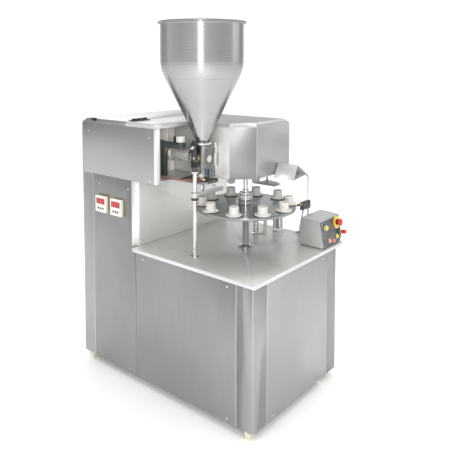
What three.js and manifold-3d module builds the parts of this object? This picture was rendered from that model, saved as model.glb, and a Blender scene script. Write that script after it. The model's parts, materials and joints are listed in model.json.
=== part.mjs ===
// Rotary tube filling and sealing machine: hopper and dosing valve, ten-station
// turntable, sealing heads, discharge chute, control box and sheet-metal cabinet.
// Millimetres, +Z up. X runs along the front, Y runs from the front to the back.
// The drawing datum is the front left bottom corner of the cabinet skirt; the
// finished group is moved so that its bounding box is centred on the origin.

import * as THREE from "three";
import Module from "manifold-3d";
import { mergeVertices } from "three/addons/utils/BufferGeometryUtils.js";

const wasm = await Module();
wasm.setup();

// ---- driving dimensions ------------------------------------------------------

const gap = 0.3;
const sheet = 3;

const width = 800;
const baseDepth = 819;
const depth = 1290;
const footHeight = 45;
const cornerRadius = 12;

const tableTop = 741;
const tablePlate = 6;
const tableLip = 20;
const tableOverhang = 26;

const cabinetTop = 1110;
const wallTop = 1415;
const roofTop = 1437;
const roofBevel = 22;
const lidSeam = 905;
const columnChamfer = 30;

const recessFront = 640;
const headLeftChamfer = 22;
const deckBottom = 1125;
const deckPlate = 6;

const wing = { left: 316, right: 749, front: 294.5, chamfer: 109 };

const table = { x: 400, y: 352, radius: 279, bottom: 960, top: 980 };
const stations = 10;
const pitchRadius = 241;
const firstStation = 22.8;

// Stations are counted anticlockwise from above; the first two lie under the sealing heads.
function stationPoint(index) {
  const angle = THREE.MathUtils.degToRad(firstStation + (360 / stations) * index);
  return [table.x + pitchRadius * Math.cos(angle), table.y + pitchRadius * Math.sin(angle)];
}

const [fillX, fillY] = stationPoint(3);
const fill = { x: fillX, y: fillY };
const valve = { width: 90, depth: 90, bottom: 1185, top: 1325, spindleZ: 1250 };
const actuatorZ = 1310;
const leverX = 176;

const post = { x: 98, y: 459, top: 1198 };
const rod = { x: 800, y: 192, top: 1095 };

const box = { left: 622, right: 838, front: -15, back: 147, foot: 6, height: 152 };
const panelLean = 25;

// ---- materials ---------------------------------------------------------------

const look = (color, roughness, metalness) =>
  new THREE.MeshStandardMaterial({ color, roughness, metalness });

const steel = look(0xb4b6b6, 0.38, 0.9);
const chrome = look(0xd4d6d8, 0.12, 1.0);
const nylon = look(0xe6e5de, 0.55, 0.0);
const darkGrey = look(0x4c5150, 0.5, 0.3);
const black = look(0x17181a, 0.5, 0.0);
const bezel = look(0xeceae2, 0.5, 0.0);
const footPlastic = look(0xd9d5b8, 0.6, 0.0);
const castGrey = look(0x6d7274, 0.6, 0.4);
const red = look(0xb3201c, 0.35, 0.0);
const yellow = look(0xe0b11c, 0.4, 0.0);

// ---- geometry helpers --------------------------------------------------------

function solid(geometry) {
  const bare = geometry.clone();
  bare.deleteAttribute("normal");
  bare.deleteAttribute("uv");
  const merged = mergeVertices(bare, 1e-4);
  return new wasm.Manifold(new wasm.Mesh({
    numProp: 3,
    vertProperties: Float32Array.from(merged.attributes.position.array),
    triVerts: Uint32Array.from(merged.index.array),
  }));
}

function geometryOf(body) {
  const mesh = body.getMesh();
  const geometry = new THREE.BufferGeometry();
  geometry.setAttribute("position", new THREE.BufferAttribute(mesh.vertProperties, 3));
  geometry.setIndex(new THREE.BufferAttribute(mesh.triVerts, 1));
  geometry.computeVertexNormals();
  return geometry;
}

const join = (...bodies) => bodies.reduce((whole, body) => whole.add(body));
const cut = (body, ...tools) => tools.reduce((rest, tool) => rest.subtract(tool), body);

// A box between two corners.
function block(x0, x1, y0, y1, z0, z1) {
  const geometry = new THREE.BoxGeometry(x1 - x0, y1 - y0, z1 - z0);
  return solid(geometry.translate((x0 + x1) / 2, (y0 + y1) / 2, (z0 + z1) / 2));
}

// An outline in X and Y, raised from z0 to z1.
function prism(points, z0, z1) {
  const shape = new THREE.Shape(points.map(([x, y]) => new THREE.Vector2(x, y)));
  const geometry = new THREE.ExtrudeGeometry(shape, { depth: z1 - z0, bevelEnabled: false });
  return solid(geometry.translate(0, 0, z0));
}

// A turned piece: the profile is a closed list of [radius, height] pairs.
function turned(profile, segments) {
  const points = [...profile, profile[0]].map(([r, z]) => new THREE.Vector2(r, z));
  return solid(new THREE.LatheGeometry(points, segments).rotateX(Math.PI / 2));
}

// A bar of round section from height z0 to z1 above the point (x, y).
function bar(x, y, radius, z0, z1, segments = 20) {
  return turned([[0, z0], [radius, z0], [radius, z1], [0, z1]], segments).translate([x, y, 0]);
}

// The same body laid along another direction: it stands on the point and follows the vector.
function laid(body, origin, direction) {
  const turn = new THREE.Quaternion().setFromUnitVectors(
    new THREE.Vector3(0, 0, 1), new THREE.Vector3(...direction).normalize());
  const matrix = new THREE.Matrix4().makeRotationFromQuaternion(turn);
  matrix.setPosition(...origin);
  return body.transform(matrix.toArray());
}

// An outline moved inwards, edge by edge. Edge i runs from point i to point i + 1.
function inset(points, distances) {
  const count = points.length;
  const lines = points.map(([x, y], i) => {
    const [nx, ny] = points[(i + 1) % count];
    const length = Math.hypot(nx - x, ny - y);
    const normal = [-(ny - y) / length, (nx - x) / length];
    const distance = Array.isArray(distances) ? distances[i] : distances;
    return { normal, offset: normal[0] * x + normal[1] * y + distance };
  });
  return points.map((_, i) => {
    const a = lines[(i + count - 1) % count];
    const b = lines[i];
    const det = a.normal[0] * b.normal[1] - a.normal[1] * b.normal[0];
    return [
      (a.offset * b.normal[1] - b.offset * a.normal[1]) / det,
      (a.normal[0] * b.offset - b.normal[0] * a.offset) / det,
    ];
  });
}

// A body between two outlines with the same number of points. Each point is [x, y, z].
function loft(lower, upper, flat) {
  const count = lower.length;
  const faces = THREE.ShapeUtils.triangulateShape(
    lower.map((p) => new THREE.Vector2(...flat(p))), []);
  const index = [];
  for (const [a, b, c] of faces) {
    index.push(a, c, b, a + count, b + count, c + count);
  }
  for (let i = 0; i < count; i += 1) {
    const j = (i + 1) % count;
    index.push(i, j, j + count, i, j + count, i + count);
  }
  const geometry = new THREE.BufferGeometry();
  const points = Float32Array.from([...lower, ...upper].flat());
  geometry.setAttribute("position", new THREE.BufferAttribute(points, 3));
  geometry.setIndex(index);
  return solid(geometry);
}

// A shallow sheet-metal pan with sloping edges: open underneath, flat on top.
function pan(outline, bevels, z0, z1) {
  const at = (points, z) => points.map(([x, y]) => [x, y, z]);
  const flat = ([x, y]) => [x, y];
  const slope = bevels.map((bevel) => bevel + sheet);
  const walls = bevels.map((bevel) => (bevel > 0 ? sheet * 1.4 : sheet));
  const outer = loft(at(outline, z0), at(inset(outline, bevels), z1), flat);
  const inner = loft(at(inset(outline, walls), z0 - 1), at(inset(outline, slope), z1 - sheet), flat);
  return cut(outer, inner);
}

// ---- assembly list -----------------------------------------------------------

const machine = new THREE.Group();

function add(name, body, material) {
  const mesh = new THREE.Mesh(geometryOf(body), material);
  mesh.name = name;
  machine.add(mesh);
}

// ---- base and cabinet --------------------------------------------------------

function buildFrame() {
  const tube = 40;
  const near = sheet + gap;
  const low = 6;
  const columnY = baseDepth + sheet + gap;
  const tableRail = tableTop - tablePlate - gap;
  const frameTop = wallTop - gap;
  const xs = [near, width - near - tube];
  const uprights = (ys, top) =>
    ys.flatMap((y) => xs.map((x) => block(x, x + tube, y, y + tube, low, top)));
  const ring = (y0, y1, z) => [
    block(near, width - near, y0, y0 + tube, z, z + tube),
    block(near, width - near, y1 - tube, y1, z, z + tube),
    block(near, near + tube, y0, y1, z, z + tube),
    block(width - near - tube, width - near, y0, y1, z, z + tube),
  ];
  const back = depth - near;
  const driveBeams = [-100, 60].map((dy) =>
    block(near, width - near, table.y + dy, table.y + dy + tube, tableRail - tube, tableRail));
  const slopeSum = baseDepth + columnChamfer + 2 * sheet;
  const chamferSpace = prism([
    [-1, baseDepth - 9], [slopeSum - baseDepth + 9, baseDepth - 9], [-1, slopeSum + 1],
  ], tableTop, cabinetTop + 1);
  add("base_frame", cut(join(
    ...uprights([near + cornerRadius], tableRail),
    ...uprights([columnY, back - tube], frameTop),
    ...ring(near + cornerRadius, back, low),
    ...ring(near + cornerRadius, columnY + tube, tableRail - tube),
    ...ring(columnY, back, cabinetTop - tube),
    ...ring(columnY, back, frameTop - tube),
    ...driveBeams,
  ), chamferSpace), castGrey);
}

function buildFeet() {
  const top = 44;
  const bottom = 32;
  const square = (side, z) => [[-1, -1], [1, -1], [1, 1], [-1, 1]]
    .map(([sx, sy]) => [(sx * side) / 2, (sy * side) / 2, z]);
  const foot = loft(square(bottom, -footHeight), square(top, 6 - gap), ([x, y]) => [x, y]);
  const places = {
    foot_front_left: [30, 42],
    foot_front_right: [width - 140, 42],
    foot_rear_left: [30, depth - 42],
    foot_rear_right: [width - 30, depth - 42],
  };
  for (const [name, [x, y]] of Object.entries(places)) {
    add(name, foot.translate([x, y, 0]), footPlastic);
  }
}

// A folded corner sheet: it runs up the left or right side, round the corner and along the front.
function cornerSheet(sideLength, frontLength, top) {
  const steps = 5;
  const arc = (radius) => Array.from({ length: steps + 1 }, (_, i) => {
    const angle = (Math.PI / 2) * (i / steps);
    return [cornerRadius - radius * Math.cos(angle), cornerRadius - radius * Math.sin(angle)];
  });
  return prism([
    [0, sideLength], ...arc(cornerRadius), [frontLength, 0],
    [frontLength, sheet], ...arc(cornerRadius - sheet).reverse(), [sheet, sideLength],
  ], 0, top);
}

function buildBasePanels() {
  const top = tableTop - tablePlate - gap;
  const seamLeft = 102;
  const seamFront = 112;
  const seamRight = 701;
  add("left_corner_cover", cornerSheet(seamLeft - gap, seamFront - gap, top), steel);
  add("front_panel", block(seamFront, seamRight, 0, sheet, 0, top), steel);
  const mirrored = cornerSheet(baseDepth - gap, width - seamRight - gap, top)
    .mirror([1, 0, 0]).translate([width, 0, 0]);
  add("right_side_cover", mirrored, steel);
  add("left_panel", block(0, sheet, seamLeft, baseDepth - gap, 0, top), steel);
}

const rearSeam = 1190;
const controllerSize = 96;
const controllerZ = 943;
const controllerYs = [1100, 966];

function buildCabinetPanels() {
  const top = cabinetTop - gap;
  const cornerY = baseDepth + columnChamfer + gap;
  const half = controllerSize / 2 - 2;
  const openings = controllerYs.map((y) =>
    block(-1, sheet + 1, y - half, y + half, controllerZ - half, controllerZ + half));
  add("cabinet_left_panel", cut(join(
    block(0, sheet, baseDepth, rearSeam - gap, 0, tableTop),
    block(0, sheet, cornerY, rearSeam - gap, tableTop - sheet, top),
  ), ...openings), steel);
  add("rear_cover", prism([
    [0, rearSeam], [sheet, rearSeam], [sheet, depth - sheet], [width - sheet, depth - sheet],
    [width - sheet, baseDepth], [width, baseDepth], [width, depth], [0, depth],
  ], 0, top), steel);
}

function buildColumnFront() {
  const inner = baseDepth + sheet;
  const x = columnChamfer;
  const slope = sheet * 0.414;
  const low = prism([
    [0, baseDepth + x], [x, baseDepth], [width - sheet - gap, baseDepth],
    [width - sheet - gap, inner], [x + slope, inner], [sheet, inner + x - slope - 1], [sheet, baseDepth + x],
  ], tableTop + gap, cabinetTop - gap);
  const high = block(x + 8, width - sheet - gap, baseDepth, inner, cabinetTop - 1, wallTop - gap);
  const pistonHole = laid(bar(0, 0, 16, -10, 20), [fill.x, baseDepth, valve.spindleZ], [0, 1, 0]);
  add("column_front_panel", cut(join(low, high), pistonHole), steel);
}

function buildTable() {
  const x0 = -tableOverhang;
  const x1 = width + tableOverhang;
  const y0 = -tableOverhang;
  const y1 = baseDepth - gap;
  const pocket = block(x0 + sheet, x1 - sheet, y0 + sheet, y1 + 1, 0, tableTop - tablePlate);
  const columnHole = bar(table.x, table.y, 18.5, 700, 800, 24);
  const whole = block(x0, x1, y0, y1, tableTop - tableLip, tableTop);
  add("table_top", cut(whole, pocket, columnHole), steel);
}

function buildControllers() {
  controllerYs.forEach((y, i) => {
    const half = controllerSize / 2;
    const body = half - 2.5;
    add(`controller_${i + 1}`, join(
      block(-20, -gap, y - half, y + half, controllerZ - half, controllerZ + half),
      block(-10, 70, y - body, y + body, controllerZ - body, controllerZ + body),
    ), bezel);
  });
}

// ---- head --------------------------------------------------------------------

const wingOutline = [
  [wing.left, wing.front + wing.chamfer],
  [wing.left + wing.chamfer, wing.front],
  [wing.right, wing.front],
];

function buildHead() {
  const wallBottom = cabinetTop;
  const top = wallTop - gap;
  const c = headLeftChamfer;
  const sideFront = recessFront + c;
  const thin = sheet * 0.414;
  add("head_left_cover", prism([
    [0, depth - sheet - gap], [0, sideFront], [c, recessFront],
    [c + sheet * 0.707, recessFront + sheet * 0.707], [sheet, sideFront + thin], [sheet, depth - sheet - gap],
  ], wallBottom, top), steel);
  add("head_rear_cover", prism([
    [0, depth - sheet], [width - sheet, depth - sheet], [width - sheet, baseDepth],
    [width, baseDepth], [width, depth], [0, depth],
  ], wallBottom, top), steel);

  const back = baseDepth - gap;
  const outer = [[wing.left, back], ...wingOutline, [wing.right, back]];
  const inner = inset(outer, sheet).map(([x, y]) => [x, Math.min(y, back)]);
  inner[0][1] = back + 1;
  inner[4][1] = back + 1;
  const walls = cut(prism(outer, deckBottom, top), prism(inner, deckBottom - 1, top + 1));
  const deckTop = deckBottom + deckPlate;
  const slot = block(wing.left - 1, wing.left + sheet + 1, recessFront - 6, back + 1,
    deckBottom - 1, deckTop + gap);
  add("wing_cover", cut(walls, slot), steel);

  const inside = inset(outer, sheet + gap);
  const deck = prism([
    [sheet + gap, back], [sheet + gap, sideFront + 6], [c + 10, recessFront - 4],
    [inside[1][0], recessFront - 4],
    inside[1], inside[2], inside[3], [inside[3][0], back],
  ], deckBottom, deckTop);
  const holes = [
    bar(table.x, table.y, 15, 1100, 1150, 24),
    ...[0, 1].map((i) => bar(...stationPoint(i), 20, 1100, 1150, 24)),
  ];
  add("head_deck", cut(deck, ...holes), steel);
}

function buildRoof() {
  const c = headLeftChamfer;
  const step = baseDepth;
  const front = [
    [0, lidSeam - gap], [0, recessFront + c], [c, recessFront], [wing.left, recessFront],
    ...wingOutline, [wing.right, step], [width, step], [width, lidSeam - gap],
  ];
  const b = roofBevel;
  const frontBevels = [b, b, 0, b, b, b, b, b, b, 0];
  add("head_top_front", pan(front, frontBevels, wallTop, roofTop), steel);
  const lid = [[0, depth], [0, lidSeam], [width, lidSeam], [width, depth]];
  add("rear_lid", pan(lid, [b, 0, b, b], wallTop, roofTop), steel);
}

const hinge = { y: lidSeam, z: roofTop + 7, radius: 6, length: 110 };

function buildLidHinges() {
  const places = { lid_hinge_left: 60, lid_hinge_right: width - 60 - hinge.length };
  for (const [name, x] of Object.entries(places)) {
    const barrel = laid(bar(0, 0, hinge.radius, 0, hinge.length, 12), [x, hinge.y, hinge.z], [1, 0, 0]);
    const leaf = block(x, x + hinge.length, hinge.y - 30, hinge.y - 2, roofTop + gap, roofTop + 6);
    add(name, join(barrel, leaf), black);
  }
}

// ---- filling unit ------------------------------------------------------------

function buildHopper() {
  const neck = { radius: 32, z: 1334 };
  const wide = { radius: 229, z: 1737 };
  const rim = { radius: 244, z: 1985 };
  const wall = 3;
  const bottom = valve.top + gap;
  const shoulder = [0, 0.5, 1].map((t) => {
    const bulge = Math.sin(Math.PI * t) * 4;
    return [wide.radius - 14 * (1 - t) + bulge, wide.z - 14 + 54 * t];
  });
  const outside = [
    [neck.radius + 14, bottom], [neck.radius + 14, bottom + 5], [neck.radius, bottom + 9],
    [neck.radius, neck.z], ...shoulder, [wide.radius, rim.z - 12],
    [rim.radius, rim.z - 6], [rim.radius, rim.z + 4], [rim.radius - 8, rim.z + 7],
    [wide.radius - wall, rim.z - 4],
  ];
  const inside = [...shoulder].reverse().map(([r, z]) => [r - wall, z + 1]);
  const profile = [...outside, ...inside, [neck.radius - wall, neck.z + 1], [neck.radius - wall, bottom]];
  add("hopper", turned(profile, 36).translate([fill.x, fill.y, 0]), steel);
}

const nozzleRadius = 11;
const tongueTop = deckBottom - gap;
const tongueBottom = tongueTop - 13;

function buildValve() {
  const halfX = valve.width / 2;
  const halfY = valve.depth / 2;
  const body = prism([
    [-halfX, -halfY + 14], [-halfX + 14, -halfY], [halfX - 14, -halfY], [halfX, -halfY + 14],
    [halfX, halfY], [-halfX, halfY],
  ], valve.bottom, valve.top).translate([fill.x, fill.y, 0]);
  const flow = bar(fill.x, fill.y, nozzleRadius + 0.6, valve.bottom - 1, valve.top + 1, 24);
  const spindleBore = laid(bar(0, 0, 14.5, 0, valve.width - 10, 24),
    [fill.x - halfX - 1, fill.y, valve.spindleZ], [1, 0, 0]);
  add("valve_body", cut(body, flow, spindleBore), darkGrey);

  const tongue = prism([
    [165, recessFront + 50], [165, 500], [200, 455], [284, 455], [309, 480], [309, recessFront + 50],
  ], tongueBottom, tongueTop);
  const posts = [[-34, -26], [34, -26], [-34, 34], [34, 34]].map(([dx, dy]) =>
    bar(fill.x + dx, fill.y + dy, 8, tongueTop - 1, valve.bottom - gap, 12));
  const hole = bar(fill.x, fill.y, nozzleRadius + 2, 1000, 1200, 24);
  add("valve_bracket", cut(join(tongue, ...posts), hole), steel);

  const nozzle = [
    [0, 1056], [6, 1056], [8, 1064], [nozzleRadius, 1072], [nozzleRadius, 1222], [0, 1222],
  ];
  add("nozzle", turned(nozzle, 24).translate([fill.x, fill.y, 0]), chrome);
}

function buildDosing() {
  const front = fill.y + valve.depth / 2 + gap;
  const back = 762;
  const bore = 34;
  const barrelRadius = 41;
  const clampRadius = 52;
  const profile = [
    [bore, front], [clampRadius, front], [clampRadius, front + 14], [barrelRadius, front + 18],
    [barrelRadius, back - 12], [barrelRadius + 5, back - 10], [barrelRadius + 5, back],
    [12, back], [12, back - 8], [bore, back - 8],
  ].map(([r, z]) => [r, z - front]);
  const origin = [fill.x, front, valve.spindleZ];
  add("dosing_cylinder", laid(turned(profile, 24), origin, [0, 1, 0]), steel);

  const piston = [[0, 20], [bore - 0.5, 20], [bore - 0.5, 50], [11, 52], [11, 330], [0, 330]];
  add("dosing_piston", laid(turned(piston, 24), origin, [0, 1, 0]), chrome);
}

function buildValveDrive() {
  const spindle = laid(bar(0, 0, 14, 0, fill.x + 33 - leverX, 24),
    [leverX, fill.y, valve.spindleZ], [1, 0, 0]);
  const plate = block(leverX - 5, leverX + 7, fill.y - 12, fill.y + 12,
    valve.spindleZ - 18, actuatorZ + 34);
  const slot = block(leverX - 6, leverX + 8, fill.y - 5.5, fill.y + 5.5,
    actuatorZ - 8, actuatorZ + 24);
  add("valve_lever", join(cut(plate, slot), spindle), darkGrey);

  const x = leverX - 21;
  const near = 596;
  const far = 790;
  const half = 20;
  const ends = [near, far - 20].map((y) =>
    block(x - half, x + half, y, y + 20, actuatorZ - half, actuatorZ + half));
  const tube = laid(bar(0, 0, 18, 0, far - near, 20), [x, near, actuatorZ], [0, 1, 0]);
  const rodBore = laid(bar(0, 0, 6.6, -1, far - near - 30, 16), [x, near, actuatorZ], [0, 1, 0]);
  const foot = block(x - 12, x + 12, far - 60, far - 20, deckBottom + deckPlate + gap, actuatorZ);
  add("air_cylinder", cut(join(tube, ...ends, foot), rodBore), darkGrey);

  const piston = laid(bar(0, 0, 6, 0, 120, 16), [x, fill.y - 8, actuatorZ], [0, 1, 0]);
  const eye = block(x - 8, x + 8, fill.y - 14, fill.y + 12, actuatorZ - 9, actuatorZ + 9);
  const pin = laid(bar(0, 0, 4.5, 0, 34, 14), [x, fill.y, actuatorZ], [1, 0, 0]);
  add("air_rod", join(piston, eye, pin), chrome);
}

function buildFrontPost() {
  const profile = [
    [0, tableTop + gap], [26, tableTop + gap], [26, tableTop + 8], [16, tableTop + 10],
    [16, tableTop + 38], [10.5, tableTop + 40], [10.5, post.top - 14], [19, post.top - 12],
    [19, post.top], [0, post.top],
  ];
  add("front_post", turned(profile, 24).translate([post.x, post.y, 0]), chrome);

  const z0 = 1060;
  const z1 = 1080;
  const guideX = 255;
  const collar = bar(post.x, post.y, 19, z0 - 2, z1 + 4, 24);
  const flat = block(post.x, 326, post.y - 5, post.y + 5, z0, z1);
  const stem = bar(guideX, post.y, 4.5, z0 + 4, 1104, 14);
  const disc = bar(guideX, post.y, 11, 1090, 1096, 18);
  const hole = bar(post.x, post.y, 10.6, z0 - 10, z1 + 10, 24);
  add("guide_bar", cut(join(collar, flat, stem, disc), hole), steel);
}

// ---- turntable ---------------------------------------------------------------

function buildTurntable() {
  const { radius, bottom, top } = table;
  const plate = [
    [19.3, bottom], [radius - 6, bottom], [radius, bottom + 4], [radius, top - 4],
    [radius - 3, top], [19.3, top],
  ];
  add("turntable_plate", turned(plate, 48).translate([table.x, table.y, 0]), steel);

  const spindle = [
    [0, 640], [10.6, 640], [10.6, bottom - 9], [58, bottom - 9], [58, bottom - gap],
    [19, bottom - gap], [19, top + gap], [40.5, top + gap], [40.5, 1018], [37, 1020],
    [37, 1052], [13, 1052], [13, 1240], [0, 1240],
  ];
  add("turntable_spindle", turned(spindle, 24).translate([table.x, table.y, 0]), chrome);

  const cup = [
    [0, 0], [44, 0], [44, 6], [27, 10], [26, 47], [18.5, 47], [18.5, 13], [0, 13],
  ].map(([r, z]) => [r, z + top + gap]);
  for (let i = 0; i < stations; i += 1) {
    const [x, y] = stationPoint(i);
    add(`puck_${i + 1}`, turned(cup, 18).translate([x, y, 0]), nylon);
  }

  const boxTop = tableTop - tablePlate - gap - 40 - gap;
  const casing = block(table.x - 85, table.x + 85, table.y - 58, table.y + 58, boxTop - 130, boxTop);
  const column = bar(table.x, table.y, 17.5, boxTop - 20, bottom - 10, 28);
  const bore = bar(table.x, table.y, 11, 630, 1000, 28);
  const motorBody = laid(bar(0, 0, 52, 0, 170, 24), [table.x, table.y + 57, boxTop - 65], [0, 1, 0]);
  const lugs = [-96, 50].map((dy) =>
    block(table.x - 60, table.x + 60, table.y + dy, table.y + dy + 46, boxTop - 24, boxTop));
  add("index_drive", cut(join(casing, column, motorBody, ...lugs), bore), castGrey);
}

function buildSealing() {
  for (let i = 0; i < 2; i += 1) {
    const [x, y] = stationPoint(1 - i);
    const profile = [
      [0, 1049], [15, 1049], [22, 1052], [22, 1073], [17.5, 1076], [17.5, 1230], [0, 1230],
    ];
    add(`sealing_head_${i + 1}`, turned(profile, 24).translate([x, y, 0]), chrome);
  }
  const [x, y] = stationPoint(0);
  const barrelTop = 900;
  const barrel = [
    [0, tableTop + gap], [24, tableTop + gap], [24, tableTop + 10], [15, tableTop + 12],
    [15, barrelTop], [6.5, barrelTop], [6.5, tableTop + 40], [0, tableTop + 40],
  ];
  const guide = { left: 650, right: 672, front: 398, back: 410, top: 950 };
  const foot = block(x - 6, guide.right, guide.front, y + 4, tableTop + gap, tableTop + 8);
  const guideBar = block(guide.left, guide.right, guide.front, guide.back, tableTop + gap, guide.top);
  add("lifter_cylinder", join(turned(barrel, 24).translate([x, y, 0]), foot, guideBar), chrome);
  const ram = [[0, 830], [6, 830], [6, 922], [13, 924], [13, 934], [0, 934]];
  add("lifter_rod", turned(ram, 20).translate([x, y, 0]), chrome);

  const half = 23;
  const slide = block(-half, half, -half, half, tableTop + gap, 930);
  const flutes = [-1, 1].flatMap((s) => [
    block(-4, 4, s * half - 5, s * half + 5, 700, 1000),
    block(s * half - 5, s * half + 5, -4, 4, 700, 1000),
  ]);
  add("clamp_cylinder", cut(slide, ...flutes).translate([772, 387, 0]), bezel);
}

// ---- discharge ---------------------------------------------------------------

function buildChute() {
  const front = [[636, 190, 1096], [787, 190, 1111], [681, 190, 1180]];
  const run = [-52, 102, 13];
  const move = (points, v) => points.map((p) => p.map((value, i) => value + v[i]));
  const flat = ([x, , z]) => [x, z];
  const outer = loft(move(front, run), front, flat);
  const sectionXZ = front.map(([x, , z]) => [x, z]);
  const inner = inset(sectionXZ, 3).map(([x, z]) => [x, 190, z]);
  const beyond = run.map((value) => value * 1.2);
  const before = run.map((value) => value * -0.2);
  const hollow = loft(move(inner, beyond), move(inner, before), flat);
  add("discharge_chute", cut(outer, hollow), steel);

  const foot = bar(rod.x, rod.y, 15, tableTop + gap, tableTop + 16);
  const upright = bar(rod.x, rod.y, 5, tableTop + 2, rod.top, 16);
  const tip = [788.6, 191, 1106];
  const arm = laid(bar(0, 0, 5, 0, 13, 16), [rod.x, rod.y, rod.top - 2],
    [tip[0] - rod.x, tip[1] - rod.y, tip[2] - rod.top + 2]);
  add("chute_rod", join(foot, upright, arm), chrome);

  const z = 930;
  const body = block(725, rod.x + 12, rod.y - 10, rod.y + 10, z - 23, z + 23);
  const stud = laid(bar(0, 0, 5.5, 0, 70, 14), [663, rod.y, z + 14], [1, 0, 0]);
  const hole = bar(rod.x, rod.y, 5.4, z - 40, z + 40, 16);
  add("index_sensor", cut(join(body, stud), hole), darkGrey);
}

// ---- controls ----------------------------------------------------------------

const panelNormal = new THREE.Vector3(0, -box.height, panelLean).normalize();

// A point on the sloping front panel, at x and at height above the table.
function onPanel(x, height) {
  const y = box.front + (panelLean * (height - box.foot)) / (box.height - box.foot);
  return [x, y, tableTop + height];
}

const buttons = {
  estop_button: { at: onPanel(801, 114), stem: 9, cap: 20, reach: 30, material: red },
  yellow_button: { at: onPanel(671, 108), stem: 10, cap: 13, reach: 14, material: yellow },
  red_button: { at: onPanel(738, 24), stem: 7, cap: 9, reach: 11, material: red },
  selector_knob: { at: onPanel(812, 58), stem: 8, cap: 12, reach: 46, material: red },
};

function buildControlBox() {
  const z0 = tableTop + box.foot;
  const z1 = tableTop + box.height;
  const f = box.front;
  const ends = [box.left, box.right].map((x) => [
    [x, f, z0], [x, box.back, z0], [x, box.back - 19, z1 + 7], [x, f + panelLean + 10, z1 + 2],
    [x, f + panelLean, z1 - 5],
  ]);
  const flat = ([, y, z]) => [y, z];
  const casing = loft(ends[0], ends[1], flat);
  const plinth = block(box.left + 10, box.right - 10, f + 12, box.back - 10, tableTop + gap, z0 + 1);
  const holes = Object.values(buttons).map(({ at, stem }) =>
    laid(bar(0, 0, stem + 0.6, -40, 10, 20), at, panelNormal.toArray()));
  add("control_box", cut(join(casing, plinth), ...holes), steel);
  for (const [name, { at, stem, cap, reach, material }] of Object.entries(buttons)) {
    const profile = [
      [0, -25], [stem, -25], [stem, 6], [cap, 8], [cap, reach - 4], [cap - 4, reach], [0, reach],
    ];
    add(name, laid(turned(profile, 20), at, panelNormal.toArray()), material);
  }
}

// ---- build -------------------------------------------------------------------

buildFrame();
buildFeet();
buildBasePanels();
buildCabinetPanels();
buildColumnFront();
buildTable();
buildControllers();
buildHead();
buildRoof();
buildLidHinges();
buildHopper();
buildValve();
buildDosing();
buildValveDrive();
buildFrontPost();
buildTurntable();
buildSealing();
buildChute();
buildControlBox();

const bounds = new THREE.Box3().setFromObject(machine);
const centre = bounds.getCenter(new THREE.Vector3());
machine.position.set(-centre.x, -centre.y, -bounds.min.z);
machine.updateMatrixWorld(true);

export default machine;
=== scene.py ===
"""Looks of the rotary tube filling machine: materials, finished pieces, light and camera.

Everything is in metres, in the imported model's frame: +X along the front panel, +Y to the
back, +Z up. Sizes and places come from the boxes of the CAD nodes.
"""
import json
import math
from collections import namedtuple

import bmesh
import bpy
from mathutils import Matrix, Vector


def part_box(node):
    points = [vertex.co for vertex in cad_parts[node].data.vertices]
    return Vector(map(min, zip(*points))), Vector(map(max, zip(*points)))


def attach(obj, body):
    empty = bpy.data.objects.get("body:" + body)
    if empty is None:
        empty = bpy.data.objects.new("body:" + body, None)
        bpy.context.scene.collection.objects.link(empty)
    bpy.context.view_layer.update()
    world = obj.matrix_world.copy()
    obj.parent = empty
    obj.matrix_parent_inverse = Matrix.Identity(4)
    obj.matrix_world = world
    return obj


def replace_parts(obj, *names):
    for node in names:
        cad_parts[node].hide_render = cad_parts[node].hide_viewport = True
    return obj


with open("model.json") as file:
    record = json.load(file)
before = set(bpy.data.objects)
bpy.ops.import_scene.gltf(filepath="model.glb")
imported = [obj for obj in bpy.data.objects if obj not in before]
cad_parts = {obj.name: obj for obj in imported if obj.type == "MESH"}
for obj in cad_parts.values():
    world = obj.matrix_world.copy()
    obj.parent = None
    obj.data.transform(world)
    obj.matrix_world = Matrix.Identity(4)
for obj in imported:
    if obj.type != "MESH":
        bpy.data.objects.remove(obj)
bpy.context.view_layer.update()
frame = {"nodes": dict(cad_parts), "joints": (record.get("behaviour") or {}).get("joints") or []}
nodes = frame["nodes"]
joints = {joint["name"]: joint for joint in frame["joints"]}

MACHINE = "machine"
UP = Vector((0, 0, 1))

Box = namedtuple("Box", "x0 y0 z0 x1 y1 z1")
Look = namedtuple("Look", "material slot")


def box(node):
    low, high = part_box(node)
    return Box(*low, *high)


def centre(node):
    low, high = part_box(node)
    return (low + high) / 2


# ---- shapes -------------------------------------------------------------------

def soften(points, radius, closed=True, steps=3):
    """Rounds the corners of an outline or path. Points on the axis (first value 0) stay."""
    points = [Vector(p) for p in points]
    count = len(points)
    result = []
    for i, p in enumerate(points):
        at_end = not closed and i in (0, count - 1)
        if at_end or (len(p) == 2 and p.x < 1e-6):
            result.append(p)
            continue
        to_a = points[i - 1] - p
        to_b = points[(i + 1) % count] - p
        reach = min(radius, to_a.length * 0.45, to_b.length * 0.45)
        a = p + to_a.normalized() * reach
        b = p + to_b.normalized() * reach
        for k in range(steps + 1):
            t = k / steps
            result.append((1 - t) ** 2 * a + 2 * t * (1 - t) * p + t ** 2 * b)
    return result


def bar_outline(radius, height):
    """The outline that a plain round bar is turned from."""
    return [(0, 0), (radius, 0), (radius, height), (0, height)]


def sleeve_outline(inner, outer, height):
    """The outline that a plain ring or sleeve is turned from."""
    return [(inner, 0), (outer, 0), (outer, height), (inner, height)]


def placed(at, axis=UP, spin=0.0):
    """The matrix that stands a shape made along +Z on a point, pointing along axis."""
    turn = UP.rotation_difference(Vector(axis).normalized()).to_matrix().to_4x4()
    return Matrix.Translation(Vector(at)) @ turn @ Matrix.Rotation(spin, 4, "Z")


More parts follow.
